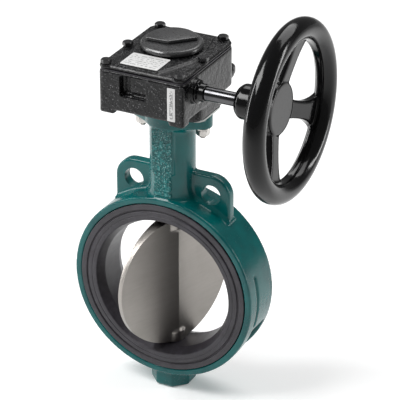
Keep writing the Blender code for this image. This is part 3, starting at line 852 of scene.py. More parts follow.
@dataclass(frozen=True)
class PressedFibre:
    """Pale gasket sheet, with short fibres."""

    name: str
    colour: Triple = (0.60, 0.62, 0.60)
    # The colour of the sheet's darker fibres.
    fleck_and_glint: Triple = (0.40, 0.42, 0.41)

    def material(self) -> Material:
        """Build the sheet.

        Returns:
            The sheet.
        """
        bench = Bench(self.name)
        fibres = bench.noise(700.0, 4.0, 0.7, (1.0, 0.25, 1.0))
        colour = bench.blend(bench.step(fibres, 0.5, 0.65), self.colour, self.fleck_and_glint)
        roughness = 0.6 + (fibres - 0.5) * 0.2
        return bench.dress(base_color=colour, roughness=roughness, normal=bench.bump(fibres, 0.05))


@dataclass(frozen=True)
class PrintedFilm:
    """A blank off-white plate with faint ruled rows, which hold no letters."""

    name: str
    rows_along: int
    row_pitch: float
    margins: tuple[Pair, Pair]
    across: int
    ink: Triple = (0.10, 0.10, 0.105)
    paper: Triple = (0.60, 0.60, 0.595)

    def material(self) -> Material:
        """Build the film: rows are bands of a sawtooth, broken into runs by stretched noise.

        Returns:
            The material.
        """
        bench = Bench(self.name)
        coordinates = bench.place()
        value, other = coordinates[self.rows_along], coordinates[self.across]
        pitch = self.row_pitch * MM
        row = ((value % pitch) > pitch * 0.62) * 1.0
        runs = bench.noise(520.0, 1.0, 0.4) > 0.5
        (low, high), (near, far) = self.margins
        field_mask = bench.within(value, low * MM, high * MM, 0.0002)
        field_mask = field_mask * bench.within(other, near * MM, far * MM, 0.0002)
        wear = bench.noise(90.0, 3.0)
        colour = bench.blend(row * runs * field_mask * 0.75, self.paper, self.ink)
        colour = bench.blend(bench.step(wear, 0.55, 0.8) * 0.25, colour, (0.45, 0.45, 0.445))
        return bench.dress(base_color=colour, roughness=0.38 + (wear - 0.5) * 0.2,
                           normal=bench.bump(wear, 0.05), coat_weight=0.3)


class Finishes:
    """Every finish on the valve, built once."""

    def __init__(self) -> None:
        """Build the materials."""
        # The teal paint's rough patch on the neck's front carries painted highlights.
        self.teal = Enamel(
            "teal_enamel", (0.0, 0.100, 0.098), (0.0, 0.070, 0.072), 0.22, 0.05, 0.10,
            ((-11.5, 11.5), (-30.0, -23.0), (234.0, 310.0)), 1.7, coat=0.14, specular=0.3,
        ).material()
        # The black cast paint carries light grey specks: painted glints.
        self.black_cast = Enamel(
            "black_cast_enamel", (0.0030, 0.0030, 0.0034), (0.006, 0.006, 0.0066), 0.22, 0.26, 0.36,
            coat=0.1, specular=0.27, grain_scale=360.0, fleck_and_glint=0.6,
        ).material()
        self.black_gloss = Enamel(
            "black_gloss_enamel", (0.0025, 0.0025, 0.0028), (0.0035, 0.0035, 0.0038), 0.13, 0.01, 0.03,
            specular=0.25, coat=0.14,
        ).material()
        # The cap's black is lighter than the other black paints: a painted reflection of the overhead light
        # on its top.
        self.cap_black_painted_reflection = Enamel(
            "cap_enamel_painted_reflection", (0.024, 0.024, 0.025), (0.036, 0.036, 0.037), 0.30, 0.04, 0.05,
            specular=0.8,
        ).material()
        self.rubber = MouldedRubber("seat_rubber").material()
        self.disc_steel = GroundSteel("disc_ground_steel").material()
        self.bolt_steel = TurnedMetal("bolt_steel", (0.62, 0.60, 0.57), (0.45, 0.43, 0.41)).material()
        self.shaft_steel = TurnedMetal(
            "shaft_steel", (0.10, 0.10, 0.105), (0.06, 0.06, 0.063), 0.14,
        ).material()
        self.bronze = TurnedMetal("bearing_bronze", (0.55, 0.36, 0.15), (0.38, 0.24, 0.10)).material()
        self.black_bolt = Enamel(
            "black_bolt_finish", (0.007, 0.007, 0.008), (0.014, 0.013, 0.014), 0.26, 0.03, 0.02,
        ).material()
        self.fibre = PressedFibre("flange_gasket_sheet").material()


def dress(piece: Piece, material: Material) -> None:
    """Give a piece one material."""
    piece.data.materials.clear()
    piece.data.materials.append(material)


def hand_over(piece: Piece, body: Body, material: Material, node: str) -> None:
    """Dress a finished piece, give it its body and hide the CAD node that it stands for.

    Args:
        piece: The finished piece.
        body: The body it moves with.
        material: Its material.
        node: The CAD node that it replaces.
    """
    dress(piece, material)
    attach(piece, body.value)
    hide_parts(node)
    LOG.info("%s: %d faces on %s", piece.name, len(piece.data.polygons), body.value)


def node_centre(node: str) -> Array:
    """The middle of a CAD node's box, in millimetres."""
    low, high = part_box(node)
    return (np.array(low) + np.array(high)) / 2 / MM


@dataclass
class Assembly:
    """A sub-assembly, whose heights are measured from the ring's centre."""

    finishes: Finishes
    centre_z: float = field(default_factory=lambda: float(node_centre("seat_liner")[2]))

    def up(self, height: float) -> float:
        """A height above the ring's centre, in the frame."""
        return self.centre_z + height

    def add(self, name: str, node: str, slot: str, material: Material, *surfaces: Surface,
            body: Body = Body.VALVE, sharp: float = 40.0) -> None:
        """Build a piece from surfaces as they are and hand it over in place of a CAD node.

        Args:
            name: The piece's name.
            node: The CAD node that it replaces.
            slot: The record's material slot; not used.
            material: Its material.
            surfaces: Its closed surfaces.
            body: The body it moves with.
            sharp: Edges over this angle in degrees stay sharp.
        """
        piece = write_object(name, joined(surfaces))
        hand_over(crease(piece, sharp), body, material, node)


# --- valve body and seat


@dataclass
class ValveBody(Assembly):
    """The cast ring with its neck, locating lugs, top flange and lower boss."""

    ring_r: float = 106.0
    rim_inner_r: float = 98.3
    rim_root_r: float = 101.0
    web_inner_r: float = 83.3
    rim_half_width: float = 27.5
    web_half_width: float = 19.7
    neck_r: float = 24.5
    pad_y: float = -24.3
    pad_half_x: float = 13.5
    pad_z: Pair = (135.0, 190.0)
    slim_pad_half_x: float = 9.7
    slim_pad_top: float = 142.0
    flange: Pair = (187.5, 203.0)
    flange_ear_r: float = 10.5
    flange_middle_r: float = 29.0
    lug_x: float = 45.9
    lug_z: float = 110.4
    lug_r: float = 22.0
    lug_hole_r: float = 11.35
    lug_plate_y: Pair = (-2.0, 10.0)
    lug_foot_y: Pair = (-4.5, 12.5)
    bore_r: float = 12.3
    channel_y: Pair = (-10.0, 19.0)
    channel_floor_r: float = 99.5
    channel_sweep: float = math.radians(52.7)
    groove_floor_r: float = 103.6
    groove_sweep: float = math.radians(34.0)
    boss_flat: float = 23.1

    def ring_surface(self) -> Surface:
        """The ring: an annulus with a raised rim at each face."""
        half = [
            (self.web_inner_r, self.web_half_width), (self.rim_inner_r, self.web_half_width),
            (self.rim_inner_r, self.rim_half_width), (self.ring_r, self.rim_half_width),
        ]
        return two_faced(half, 1.0, self.centre_z, 256)

    def neck_surface(self) -> Surface:
        """The neck: round in its length, spread where it meets the ring and the flange.

        The half width along X is r (1 + 0.22 foot + 0.16 head) and along Y it is
        r (1 + 0.03 foot + 0.08 head). Foot and head are one at the neck's two ends and fall to
        nought, to the power 2.2, over 16 mm and 9 mm.

        Returns:
            The closed neck.
        """
        height = np.linspace(self.rim_root_r, self.flange[0] + 3, 60)[:, None]
        foot = np.clip(1 - (height - self.rim_root_r) / 16.0, 0, 1) ** 2.2
        head = np.clip(1 - (self.flange[0] - height) / 9.0, 0, 1) ** 2.2
        angle = np.linspace(0, math.tau, 128, endpoint=False)
        wide = self.neck_r * (1 + 0.22 * foot + 0.16 * head) * np.cos(angle)
        deep = self.neck_r * (1 + 0.03 * foot + 0.08 * head) * np.sin(angle)
        return grid(placed(Axis.Z, self.up(height), wide, deep), False, True)

    def pad_surfaces(self) -> list[Surface]:
        """The flat pads on the neck's front: a wide upper one and a narrow lower one.

        Returns:
            The two pads.
        """
        low, high = (self.up(height) for height in self.pad_z)
        wide = rectangle((-self.pad_half_x, self.pad_half_x), (low, high), 2.5)
        slim_x = (-self.slim_pad_half_x, self.slim_pad_half_x)
        slim = rectangle(slim_x, (self.up(self.rim_root_r), self.up(self.slim_pad_top)), 1.5)
        return [
            slab(resampled(wide, 3.0), self.pad_y, 0.0, Axis.Y, 1.2),
            slab(resampled(slim, 3.0), self.pad_y - 0.4, 0.0, Axis.Y, 1.2),
        ]

    def flange_surface(self) -> Surface:
        """The top flange: a round middle and an ear round each bolt.

        Returns:
            The closed flange.
        """
        bolt, ear, middle = STUD_X, self.flange_ear_r, self.flange_middle_r
        outline = np.vstack([
            arc((bolt, 0), ear, -75, 75, 20), arc((0, 0), middle, 40, 140, 24),
            arc((-bolt, 0), ear, 105, 255, 20), arc((0, 0), middle, 220, 320, 24),
        ])
        return slab(outline, self.up(self.flange[0]), self.up(self.flange[1]), Axis.Z, 1.5)

    def lug_surfaces(self) -> list[Surface]:
        """The plate that holds both lugs, and the thicker foot where it meets the ring.

        Returns:
            The plate and the foot.
        """
        reach, middle = self.lug_x + self.lug_r, np.array([0.0, self.centre_z])
        plate = np.vstack([
            arc((self.lug_x, self.lug_z), self.lug_r, 0, 90, 24),
            arc((-self.lug_x, self.lug_z), self.lug_r, 90, 180, 24),
            [(-reach, 76.0), (-self.lug_x, 90.0), (self.lug_x, 90.0), (reach, 76.0)],
        ])
        foot = np.vstack([
            arc((0, 0), self.ring_r + 2.2, 50, 130, 60), arc((0, 0), self.ring_r - 5, 130, 50, 60),
        ])
        return [
            slab(resampled(plate, 3.0) + middle, *self.lug_plate_y, Axis.Y, 1.6),
            slab(foot + middle, *self.lug_foot_y, Axis.Y, 2.0),
        ]

    def boss_surface(self) -> Surface:
        """The eight-sided lower boss, a little narrower at its foot.

        The radius at an angle is flat / cos(angle to the nearest flat).

        Returns:
            The closed boss.
        """
        angle = np.linspace(0, math.tau, 160, endpoint=False)
        radius = self.boss_flat / np.cos((angle + math.pi / 8) % (math.pi / 4) - math.pi / 8)
        levels = np.array([0.0, 2.4, 12.0, self.up(-self.rim_root_r)])[:, None]
        shrink = np.array([0.93, 1.0, 1.0, 1.0])[:, None]
        return grid(polar(Axis.Z, levels, shrink * radius, angle), False, True)

    def channel_surfaces(self) -> list[Surface]:
        """The channels low on each side between the rims, and the groove above each.

        Returns:
            The shapes to take out of the ring.
        """
        clear, floor, centre = self.ring_r + 6.0, self.groove_floor_r, (0.0, self.centre_z)
        channel = rectangle((self.channel_floor_r, clear), self.channel_y, 1.5)
        groove = rounded([(floor, -11.0), (clear, -11.4), (clear, -7.2), (floor, -7.6)], 0.8)
        made = []
        for channel_start, groove_start in ((-72.7, -17.0), (200.0, 163.0)):
            made += [
                turned(channel, Axis.Y, centre, 64, True, math.radians(channel_start), self.channel_sweep),
                turned(groove, Axis.Y, centre, 48, True, math.radians(groove_start), self.groove_sweep),
            ]
        return made

    def hole_surfaces(self) -> list[Surface]:
        """The stem's bores, the lug holes and the flange's bolt holes.

        Returns:
            The shapes to take out of the body.
        """
        made = [
            rod(self.bore_r, self.centre_z, self.up(210), Axis.Z),
            rod(self.bore_r, -5.0, self.centre_z, Axis.Z),
        ]
        for side in (-1, 1):
            lug, bolt = (side * self.lug_x, self.up(self.lug_z)), (side * STUD_X, 0.0)
            made.append(rod(self.lug_hole_r, -20, 30, Axis.Y, lug, 0, 96))
            made.append(rod(M8_HOLE_R, self.up(180), self.up(210), Axis.Z, bolt))
        return made

    def build(self) -> None:
        """Build the body."""
        casting = Casting(
            "cast_valve_body",
            [self.ring_surface(), self.neck_surface(), *self.pad_surfaces(), self.flange_surface(),
             *self.lug_surfaces(), self.boss_surface()],
            self.channel_surfaces(), self.hole_surfaces(),
        )
        hand_over(casting.build(), Body.VALVE, self.finishes.teal, "valve_body")


@dataclass
class Seat(Assembly):
    """The rubber liner, with its flat sealing face and grooves."""

    half_width: float = 28.0
    outer_r: float = 98.0
    bore_r: float = 75.3
    upper_stem_hole_r: float = 9.3
    lower_stem_hole_r: float = 8.3

    def build(self) -> None:
        """Turn the liner's profile about the pipe's axis and cut the two stem holes."""
        width = self.half_width
        half = [
            (83.0, 20.0), (self.outer_r, 20.0), (self.outer_r, width), (92.0, width), (91.5, width - 1.6),
            (90.2, width - 1.6), (89.7, width), (85.6, width), (85.3, width - 0.4), (84.8, width - 0.4),
            (84.5, width), (80.0, width), (self.bore_r, 16.0),
        ]
        liner = write_object("moulded_seat", two_faced(half, 0.9, self.centre_z, 288))
        cut(liner, [
            rod(self.upper_stem_hole_r, self.up(60), self.up(90), Axis.Z),
            rod(self.lower_stem_hole_r, self.up(-90), self.up(-60), Axis.Z),
        ])
        hand_over(crease(liner), Body.VALVE, self.finishes.rubber, "seat_liner")


@dataclass
class Disc(Assembly):
    """The disc: a ridge along the stem, faces that hollow towards it and a round hub at each end."""

    radius: float = 74.9
    ridge: float = 9.0
    edge: float = 2.9
    hub_r: float = 11.2

    def half_thickness(self, across: Array, up: Array) -> Array:
        """Half the thickness at a place on the disc's plane.

        The roof is edge + (ridge - edge) (1 - |across| / radius)^1.6. A hub is the half circle
        sqrt(r^2 - across^2) whose r grows from nought to the hub's radius towards each end. The two
        are joined softly as the sixth root of the sum of their sixth powers.

        Args:
            across: Distances from the stem's axis.
            up: Heights above the disc's centre.

        Returns:
            Half the thickness at each place.
        """
        roof = self.edge + (self.ridge - self.edge) * (1 - np.abs(across) / self.radius) ** 1.6
        grown = self.hub_r * np.clip((np.abs(up) - 57.0) / 6.0, 0, 1) ** 0.5
        hub = np.sqrt(np.maximum(grown**2 - across**2, 0.0))
        return (roof**6 + hub**6) ** (1 / 6)

    def build(self) -> None:
        """Lay both faces and the edge out as one grid from pole to pole."""
        around, rings, band = 360, 90, 10
        angle = np.linspace(0, math.tau, around, endpoint=False)[None, :]
        edge_r = np.full_like(angle, self.radius)
        for _ in range(8):
            thick = self.half_thickness(edge_r * np.cos(angle), edge_r * np.sin(angle))
            edge_r = np.sqrt(self.radius**2 - thick**2)
        share = np.concatenate([[0.004], np.linspace(0.02, 1.0, rings)])[:, None]
        face_r = share * edge_r
        face_y = self.half_thickness(face_r * np.cos(angle), face_r * np.sin(angle))
        rise = np.linspace(1, -1, band + 2)[1:-1, None]
        edge_y = rise * face_y[-1]
        band_r = np.sqrt(self.radius**2 - edge_y**2) - 0.15 * np.abs(rise) ** 6
        radius = np.vstack([face_r, band_r, face_r[::-1]])
        thickness = np.vstack([face_y, edge_y, -face_y[::-1]])
        points = np.stack([radius * np.cos(angle), thickness, radius * np.sin(angle)], axis=-1)
        surface = grid(points, False, True).turned_about_z(OPEN_ANGLE).moved(z=self.centre_z)
        self.add("ground_disc", "disc", "stainless", self.finishes.disc_steel, surface,
                 body=Body.STEM, sharp=30.0)


# --- gearbox


@dataclass
class Gearbox(Assembly):
    """The cast housing, its cover and screws, the indicator and the labels."""

    half_x: float = 48.5
    front: float = -70.0
    back: float = 50.0
    bottom: float = 220.5
    top: float = 263.5
    cover: Pair = (265.1, 269.5)
    plateau: float = 271.0
    worm: Pair = (-46.0, 249.5)
    worm_bore_r: float = 11.0
    worm_boss_r: float = 13.0
    stop: Pair = (34.0, 227.5)
    stop_boss_r: float = 9.5
    foot_inner_x: float = 31.0
    foot_back: float = -54.0
    foot_bottom: float = 216.0
    bearing_r: float = 19.3
    cap_bore_r: float = 12.5
    lobe_r: float = 7.0
    gap: float = 0.3

    def box_outline(self, half_x: float, front: float, back: float, radii: Pair) -> Array:
        """A rectangle in X and Y with one radius at the front corners and one at the back.

        Args:
            half_x: Half its width.
            front: Where its front lies along Y.
            back: Where its back lies along Y.
            radii: The radius at the front, then the one at the back.

        Returns:
            The outline's points.
        """
        near, far = radii
        outline = np.vstack([
            arc((half_x - near, front + near), near, -90, 0, 8),
            arc((half_x - far, back - far), far, 0, 90, 10),
            arc((far - half_x, back - far), far, 90, 180, 10),
            arc((near - half_x, front + near), near, 180, 270, 8),
        ])
        return resampled(outline, 4.0)

    def bolt_places(self) -> list[Pair]:
        """Where the cover's screws stand, in X and Y, from their CAD nodes."""
        return [tuple(node_centre(f"cover_bolt_{number}")[:2]) for number in range(1, 7)]

    def worm_axis(self) -> Pair:
        """Where the worm's axis runs, in Y and Z."""
        return self.worm[0], self.up(self.worm[1])

    def stop_axis(self, side: int) -> Pair:
        """Where the stop screw on a side runs, in X and Z."""
        return side * self.stop[0], self.up(self.stop[1])

    def housing_shapes(self) -> list[Surface]:
        """The box, the plate below it, the feet and the bosses.

        Returns:
            The shapes to grow together.
        """
        bottom = self.up(self.bottom)
        box = self.box_outline(self.half_x, self.front, self.back, (4, 12))
        shapes = [
            slab(box, bottom, self.up(self.top), Axis.Z, 1.6),
            slab(self.box_outline(46.5, -33.0, 36.0, (12, 12)), self.up(205.2), bottom + 3, Axis.Z, 1.6),
        ]
        for side, reach in ((-1, (-50.3, -44.0)), (1, (44.0, 54.0))):
            across = side * self.half_x, side * self.foot_inner_x
            foot = rectangle(across, (self.front, self.foot_back), 4.0)
            shapes += [
                slab(resampled(foot, 3.0), self.up(self.foot_bottom), bottom + 4, Axis.Z, 1.2),
                rod(self.worm_boss_r, *reach, Axis.X, self.worm_axis(), 2.0, 96),
                rod(self.stop_boss_r, 44.0, 60.0, Axis.Y, self.stop_axis(side), 2.5, 72),
            ]
        return shapes

    def housing_hollows(self) -> list[Surface]:
        """The moulded pocket in the front wall, deeper at its left.

        Returns:
            The shapes to press into the wall.
        """
        made = []
        for across, low, high, radius, depth in (
            ((-24, 6), 238, 261, 1.5, 3.0),
            ((-24, -12), 239, 260, 1.0, 8.5),
            ((-12, 6), 239, 243.5, 0.8, 5.5),
        ):
            outline = rectangle(across, (self.up(low), self.up(high)), radius)
            made.append(slab(resampled(outline, 3), self.front - 6, self.front + depth, Axis.Y, 0.6))
        return made

    def housing_holes(self) -> list[Surface]:
        """The gear cavity and the bores for the bearings, studs and stop screws.

        Returns:
            The shapes to take out.
        """
        holes = [
            slab(self.box_outline(39.3, -59.6, 39.5, (3, 3)), self.up(223.0), self.up(270.0), Axis.Z, 0.5),
            rod(self.bearing_r, self.up(200), self.up(226), Axis.Z),
            rod(self.worm_bore_r, -60.0, 60.0, Axis.X, self.worm_axis()),
        ]
        for side in (-1, 1):
            holes.append(rod(M8_HOLE_R, self.up(200), self.up(215), Axis.Z, (side * STUD_X, 0.0)))
            holes.append(rod(M8_HOLE_R, 30.0, 70.0, Axis.Y, self.stop_axis(side)))
        return holes

    def build_housing(self) -> None:
        """Build the housing and the blind cap on its far side."""
        black = self.finishes.black_cast
        casting = Casting(
            "cast_gear_housing", self.housing_shapes(), self.housing_hollows(), self.housing_holes(), 1.0, 3,
        )
        hand_over(casting.build(), Body.VALVE, black, "gearbox_housing")
        self.add("worm_end_disc", "worm_end_cap", "black_enamel", black,
                 rod(11.5, -54.0, -50.6, Axis.X, self.worm_axis(), 1.0, 96))

    def build_cover(self) -> None:
        """Build the cover: a plate with a raised plateau, a lobe under each screw and a round bore."""
        low, high = (self.up(level) for level in self.cover)
        box = self.box_outline(self.half_x, self.front, self.back, (4, 12))
        plateau = rounded(
            [(-33, -66), (17, -66), (36, -24), (36, 8), (28, 40), (-28, 40), (-35, 8), (-35, -24)], 3.0,
        )
        shapes = [
            slab(box, low, high, Axis.Z, 2.1, 2),
            slab(resampled(plateau, 3.0), low + 1, self.up(self.plateau), Axis.Z, 0.9),
        ]
        through = self.up(260), self.up(275)
        holes = [rod(self.cap_bore_r, *through, Axis.Z, (0.0, 0.0), 0, 96)]
        for x, y in self.bolt_places():
            lobe_x = math.copysign(min(abs(x), self.half_x - self.lobe_r - 0.2), x)
            shapes.append(rod(self.lobe_r, low + 1, high + 0.1, Axis.Z, (lobe_x, y), 0.6, 48))
            holes.append(rod(3.3, *through, Axis.Z, (x, y), 0, 32))
        casting = Casting("cast_gear_cover", shapes, [], holes, 0.8, 3)
        hand_over(casting.build(), Body.VALVE, self.finishes.black_cast, "gearbox_cover")

    def build_screws(self) -> None:
        """Build the cover's six screws, each with a washer face under its head."""
        seat = self.up(self.cover[1]) + self.gap
        for number, centre in enumerate(self.bolt_places(), start=1):
            self.add(
                f"cover_screw_{number}", f"cover_bolt_{number}", "black_steel", self.finishes.black_bolt,
                hexagonal(10.0, seat + 0.5, seat + 4.2, Axis.Z, centre),
                rod(4.9, seat, seat + 0.7, Axis.Z, centre, 0.1, 48),
                rod(3.0, self.up(252), seat + 1, Axis.Z, centre, 0.4, 32),
                sharp=25.0,
            )

    def build_indicator(self) -> None:
        """Build the round cap that turns with the stem, and the pointer plate on it."""
        # The cap's paint is lightened as a painted reflection of the overhead light.
        low, black = self.up(self.plateau) + self.gap, self.finishes.cap_black_painted_reflection
        line = [
            (2.0, self.up(262.3)), (12.0, self.up(262.3)), (12.0, low), (30.5, low), (32.7, low + 1.5),
            (32.7, low + 4.6), (31.0, low + 6.7), (27.8, low + 6.7), (27.3, low + 6.3), (2.0, low + 6.3),
        ]
        cap = capped(line, 0.7, Axis.Z, segments=192)
        self.add("indicator_dome", "indicator_cap", "black_enamel", black, cap, body=Body.STEM)
        outline = np.vstack([[(2.0, -11.0)], arc((0, 0), 26.6, 27, 207, 60)])
        plate = slab(resampled(rounded(outline, 1.2), 2.0), low + 7.0, low + 10.2, Axis.Z, 0.7)
        self.add("indicator_plate", "indicator_pointer", "black_enamel", black, plate, body=Body.STEM)

    def build_labels(self) -> None:
        """Build the blank plate on the cover and the blank strip on the front wall."""
        low, front = self.up(self.plateau) + self.gap, self.front
        plate = resampled(rectangle((-27, 16), (-63.5, -33.5), 1.5), 4)
        film = PrintedFilm("nameplate_film", 1, 4.2, ((-61.0, -36.0), (-24.5, 13.5)), 0)
        self.add("blank_nameplate", "nameplate", "label", film.material(),
                 slab(plate, low, low + 0.8, Axis.Z, 0.25))
        strip = resampled(rectangle((31, 40), (self.up(222.5), self.up(259)), 0.6), 4)
        film = PrintedFilm("side_strip_film", 0, 20.0, ((33.6, 37.4), (self.up(225), self.up(256))), 2)
        self.add("blank_side_strip", "side_label", "label", film.material(),
                 slab(strip, front - 0.9, front - self.gap, Axis.Y, 0.15))

    def build_stops(self) -> None:
        """Build the two stop screws at the back and their lock nuts."""
        black = self.finishes.black_bolt
        for side, tag in SIDES:
            centre = self.stop_axis(side)
            self.add(f"stop_stud_{tag}", f"stop_screw_{tag}", "black_steel", black,
                     threaded_rod(26.5, 69.0, Axis.Y, centre))
            self.add(f"stop_lock_{tag}", f"stop_nut_{tag}", "black_steel", black,
                     m8_nut(60.3, 66.3, Axis.Y, centre), sharp=25.0)

    def build(self) -> None:
        """Build the whole gearbox."""
        self.build_housing()
        self.build_cover()
        self.build_screws()
        self.build_indicator()
        self.build_labels()
        self.build_stops()


# --- top joint and small parts


@dataclass
class TopJoint(Assembly):
    """The studs, nuts and washers between the neck and the gearbox, and the lower plug."""

    def build(self) -> None:
        """Build the joint and the plug."""
        bright, up = self.finishes.bolt_steel, self.up
        for side, tag in SIDES:
            centre = (side * STUD_X, 0.0)
            self.add(f"neck_stud_{tag}", f"flange_stud_{tag}", "stainless", bright,
                     threaded_rod(up(175.5), up(214.0), Axis.Z, centre))
            self.add(f"neck_nut_{tag}", f"flange_nut_{tag}", "stainless", bright,
                     m8_nut(up(178.8), up(185.3), Axis.Z, centre), sharp=25.0)
            self.add(f"neck_washer_{tag}", f"flange_washer_{tag}", "stainless", bright,
                     ring(M8_CLEAR_R, 8.0, up(185.6), up(187.2), Axis.Z, centre, 0.25))
        line = [(1.0, 0.0), (12.0, 0.0), (12.0, 7.8), (1.0, 7.8)]
        plug = write_object("lower_plug", capped(line, 0.6, Axis.Z))
        cut(plug, [rod(1.6, -2.0, 4.0, Axis.Z, (side * 7.5, 0.0), 0, 32) for side, _ in SIDES])
        hand_over(crease(plug, 40.0), Body.VALVE, self.finishes.shaft_steel, "bottom_plug")


@dataclass
class Drive(Assembly):
    """The input shaft with its worm, the seal round it, and the handwheel."""

    shaft_r: float = 7.3
    pitch_r: float = 10.0
    lead: float = 3.0 * math.pi
    rim_r: float = 84.0
    tube_r: float = 11.5
    rim_x: float = 157.0
    spoke_hub_x: Pair = (133.5, 143.5)
    spoke_rim_x: Pair = (145.5, 156.5)
    spoke_start_r: float = 14.0
    shaft_x: Pair = (-49.8, 145.9)
    first_spoke: float = -23.0
    pin_x: float = 125.0
    pin_r: float = 2.5
    worm_length: float = 34.0
    axis: Pair = field(default_factory=lambda: tuple(node_centre("worm_end_cap")[1:].tolist()))

    def worm_surface(self) -> Surface:
        """One left-hand thread swept along a helix, round in its crest.

        At turn t a section point at radius r and offset a lies at x = lead t + a, at the angle
        minus 360 degrees times t. The section is a trapezium that narrows by tan 20 degrees.

        Returns:
            The closed thread.
        """
        turns = self.worm_length / self.lead
        t = np.linspace(-turns / 2, turns / 2, 260)[:, None]
        radius = np.array([5.5, 11.9, 12.6, 12.6, 11.9, 5.5])
        pitch_half = (self.lead / 2 - 0.5) / 2
        half = pitch_half - (radius - self.pitch_r) * math.tan(math.radians(20))
        offset = half * np.array([-1, -1, -0.75, 0.75, 1, 1])
        angle = -math.tau * t
        return grid(polar(Axis.X, self.lead * t + offset, radius, angle, self.axis), False, True)

    def build_shaft(self) -> None:
        """Build the shaft and its worm, and the seal where it leaves the gearbox."""
        thin = self.shaft_r - 1.0
        line = [
            (1.0, self.shaft_x[0]), (self.shaft_r, self.shaft_x[0]), (self.shaft_r, -23.0), (thin, -22.0),
            (thin, 22.0), (self.shaft_r, 23.0), (self.shaft_r, self.shaft_x[1]), (1.0, self.shaft_x[1]),
        ]
        bar = capped(line, 0.8, Axis.X, self.axis)
        self.add("input_shaft", "worm_shaft", "steel", self.finishes.shaft_steel, bar, self.worm_surface(),
                 body=Body.INPUT)
        lip = [(7.6, 54.2), (12.4, 54.2), (12.4, 55.6), (9.4, 57.4), (9.4, 63.0), (7.6, 63.0)]
        self.add("shaft_lip_seal", "shaft_seal", "rubber", self.finishes.black_gloss,
                 turned(rounded(lip, 0.6), Axis.X, self.axis, 96))

    def rim_surface(self) -> Surface:
        """The rim: a round tube with a shallow dip and a lip on its inner side, behind the spokes.

        The tube's radius is r (1 - 0.03 exp(-(d / 0.5)^2)) + 1.6 exp(-((d + 0.32) / 0.16)^2), and
        never over r + 1.4. Here d is the angle from the direction that points in and back.

        Returns:
            The closed rim.
        """
        angle = np.linspace(0, math.tau, 72, endpoint=False)
        place = (angle - math.radians(222) + math.pi) % math.tau - math.pi
        size = self.tube_r * (1 - 0.03 * np.exp(-((place / 0.5) ** 2)))
        lip = 1.6 * np.exp(-(((place + 0.32) / 0.16) ** 2))
        size = np.minimum(size + lip, self.tube_r + 1.4)
        profile = np.stack([self.rim_r + size * np.cos(angle), self.rim_x + size * np.sin(angle)], axis=1)
        return turned(profile, Axis.X, self.axis, 288)

    def spoke_surface(self, angle: float) -> Surface:
        """One spoke: a flat bar with rounded sides that spreads into the hub and the rim.

        At share u of its length the half width is 9.3 + 8.5 |2.1 u - 0.95|^2.6, and its section is
        a squared-off oval, |a|^7 + |b|^7 = 1. It leans outwards from the hub to the rim's middle.

        Args:
            angle: Its direction round the shaft, in radians.

        Returns:
            The closed spoke.
        """
        u = np.linspace(0.0, 1.0, 48)[:, None]
        around = np.linspace(0, math.tau, 56, endpoint=False)[None, :]
        reach = 10.0 + (self.rim_r - 12.0) * u
        half_width = 9.3 + 8.5 * np.abs(2.1 * u - 0.95) ** 2.6
        share = np.maximum(reach - self.spoke_start_r, 0.0) / (self.rim_r - 2.0 - self.spoke_start_r)
        low, high = (hub + (rim - hub) * share for hub, rim in zip(self.spoke_hub_x, self.spoke_rim_x))
        cos, sin = np.cos(around), np.sin(around)
        power = (np.abs(cos) ** 7 + np.abs(sin) ** 7) ** (-1 / 7)
        across = half_width * power * cos
        depth = (low + high) / 2 + (high - low) / 2 * power * sin
        direction = (math.cos(angle), math.sin(angle))
        first = self.axis[0] + reach * direction[0] - across * direction[1]
        second = self.axis[1] + reach * direction[1] + across * direction[0]
        return grid(placed(Axis.X, depth, first, second), False, True)

    def hub_surface(self) -> Surface:
        """The hub: a barrel that opens into a flat round face."""
        line = [
            (2.0, 99.0), (13.5, 99.0), (18.5, 104.5), (18.5, 130.5), (23.0, 132.5), (28.0, 134.0),
            (28.0, 145.8), (26.5, 147.4), (2.0, 147.4),
        ]
        return capped(line, 2.2, Axis.X, self.axis, 160, 5)

    def build_wheel(self) -> None:
        """Cast the wheel in one piece and bore it for the shaft and the pin."""
        spokes = [self.spoke_surface(math.radians(self.first_spoke + 90 * turn)) for turn in range(4)]
        across, height = self.axis
        pin_centre = (self.pin_x, across)
        holes = [
            rod(self.shaft_r + 0.3, 94.0, self.shaft_x[1] + 0.3, Axis.X, self.axis, 0, 96),
            rod(self.pin_r + 0.3, height - 30, height + 30, Axis.Z, pin_centre, 0, 32),
        ]
        shapes = [self.rim_surface(), *spokes, self.hub_surface()]
        wheel = Casting("cast_handwheel", shapes, [], holes, 1.0, 4).build()
        hand_over(wheel, Body.INPUT, self.finishes.black_gloss, "handwheel")
        self.add("wheel_pin", "handwheel_pin", "steel", self.finishes.shaft_steel,
                 rod(self.pin_r, height - 18, height + 18, Axis.Z, pin_centre, 0.5, 48), body=Body.INPUT)

    def build(self) -> None:
        """Build the drive."""
        self.build_shaft()
        self.build_wheel()


def dress_hidden_nodes(finishes: Finishes) -> None:
    """Give every CAD node that still shows its own finish."""
    groups = (
        (finishes.bolt_steel, ("upper_stem", "lower_stem")),
        (finishes.fibre, ("top_flange_gasket",)),
        (finishes.rubber, ("housing_gasket", "upper_o_ring", "plug_o_ring")),
        (finishes.bronze, ("upper_bush", "top_bush", "lower_bush", "wheel_bush", "inner_worm_bush",
                           "outer_worm_bush", "worm_wheel")),
    )
    for material, nodes in groups:
        for node in nodes:
            dress(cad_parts[node], material)


# --- studio


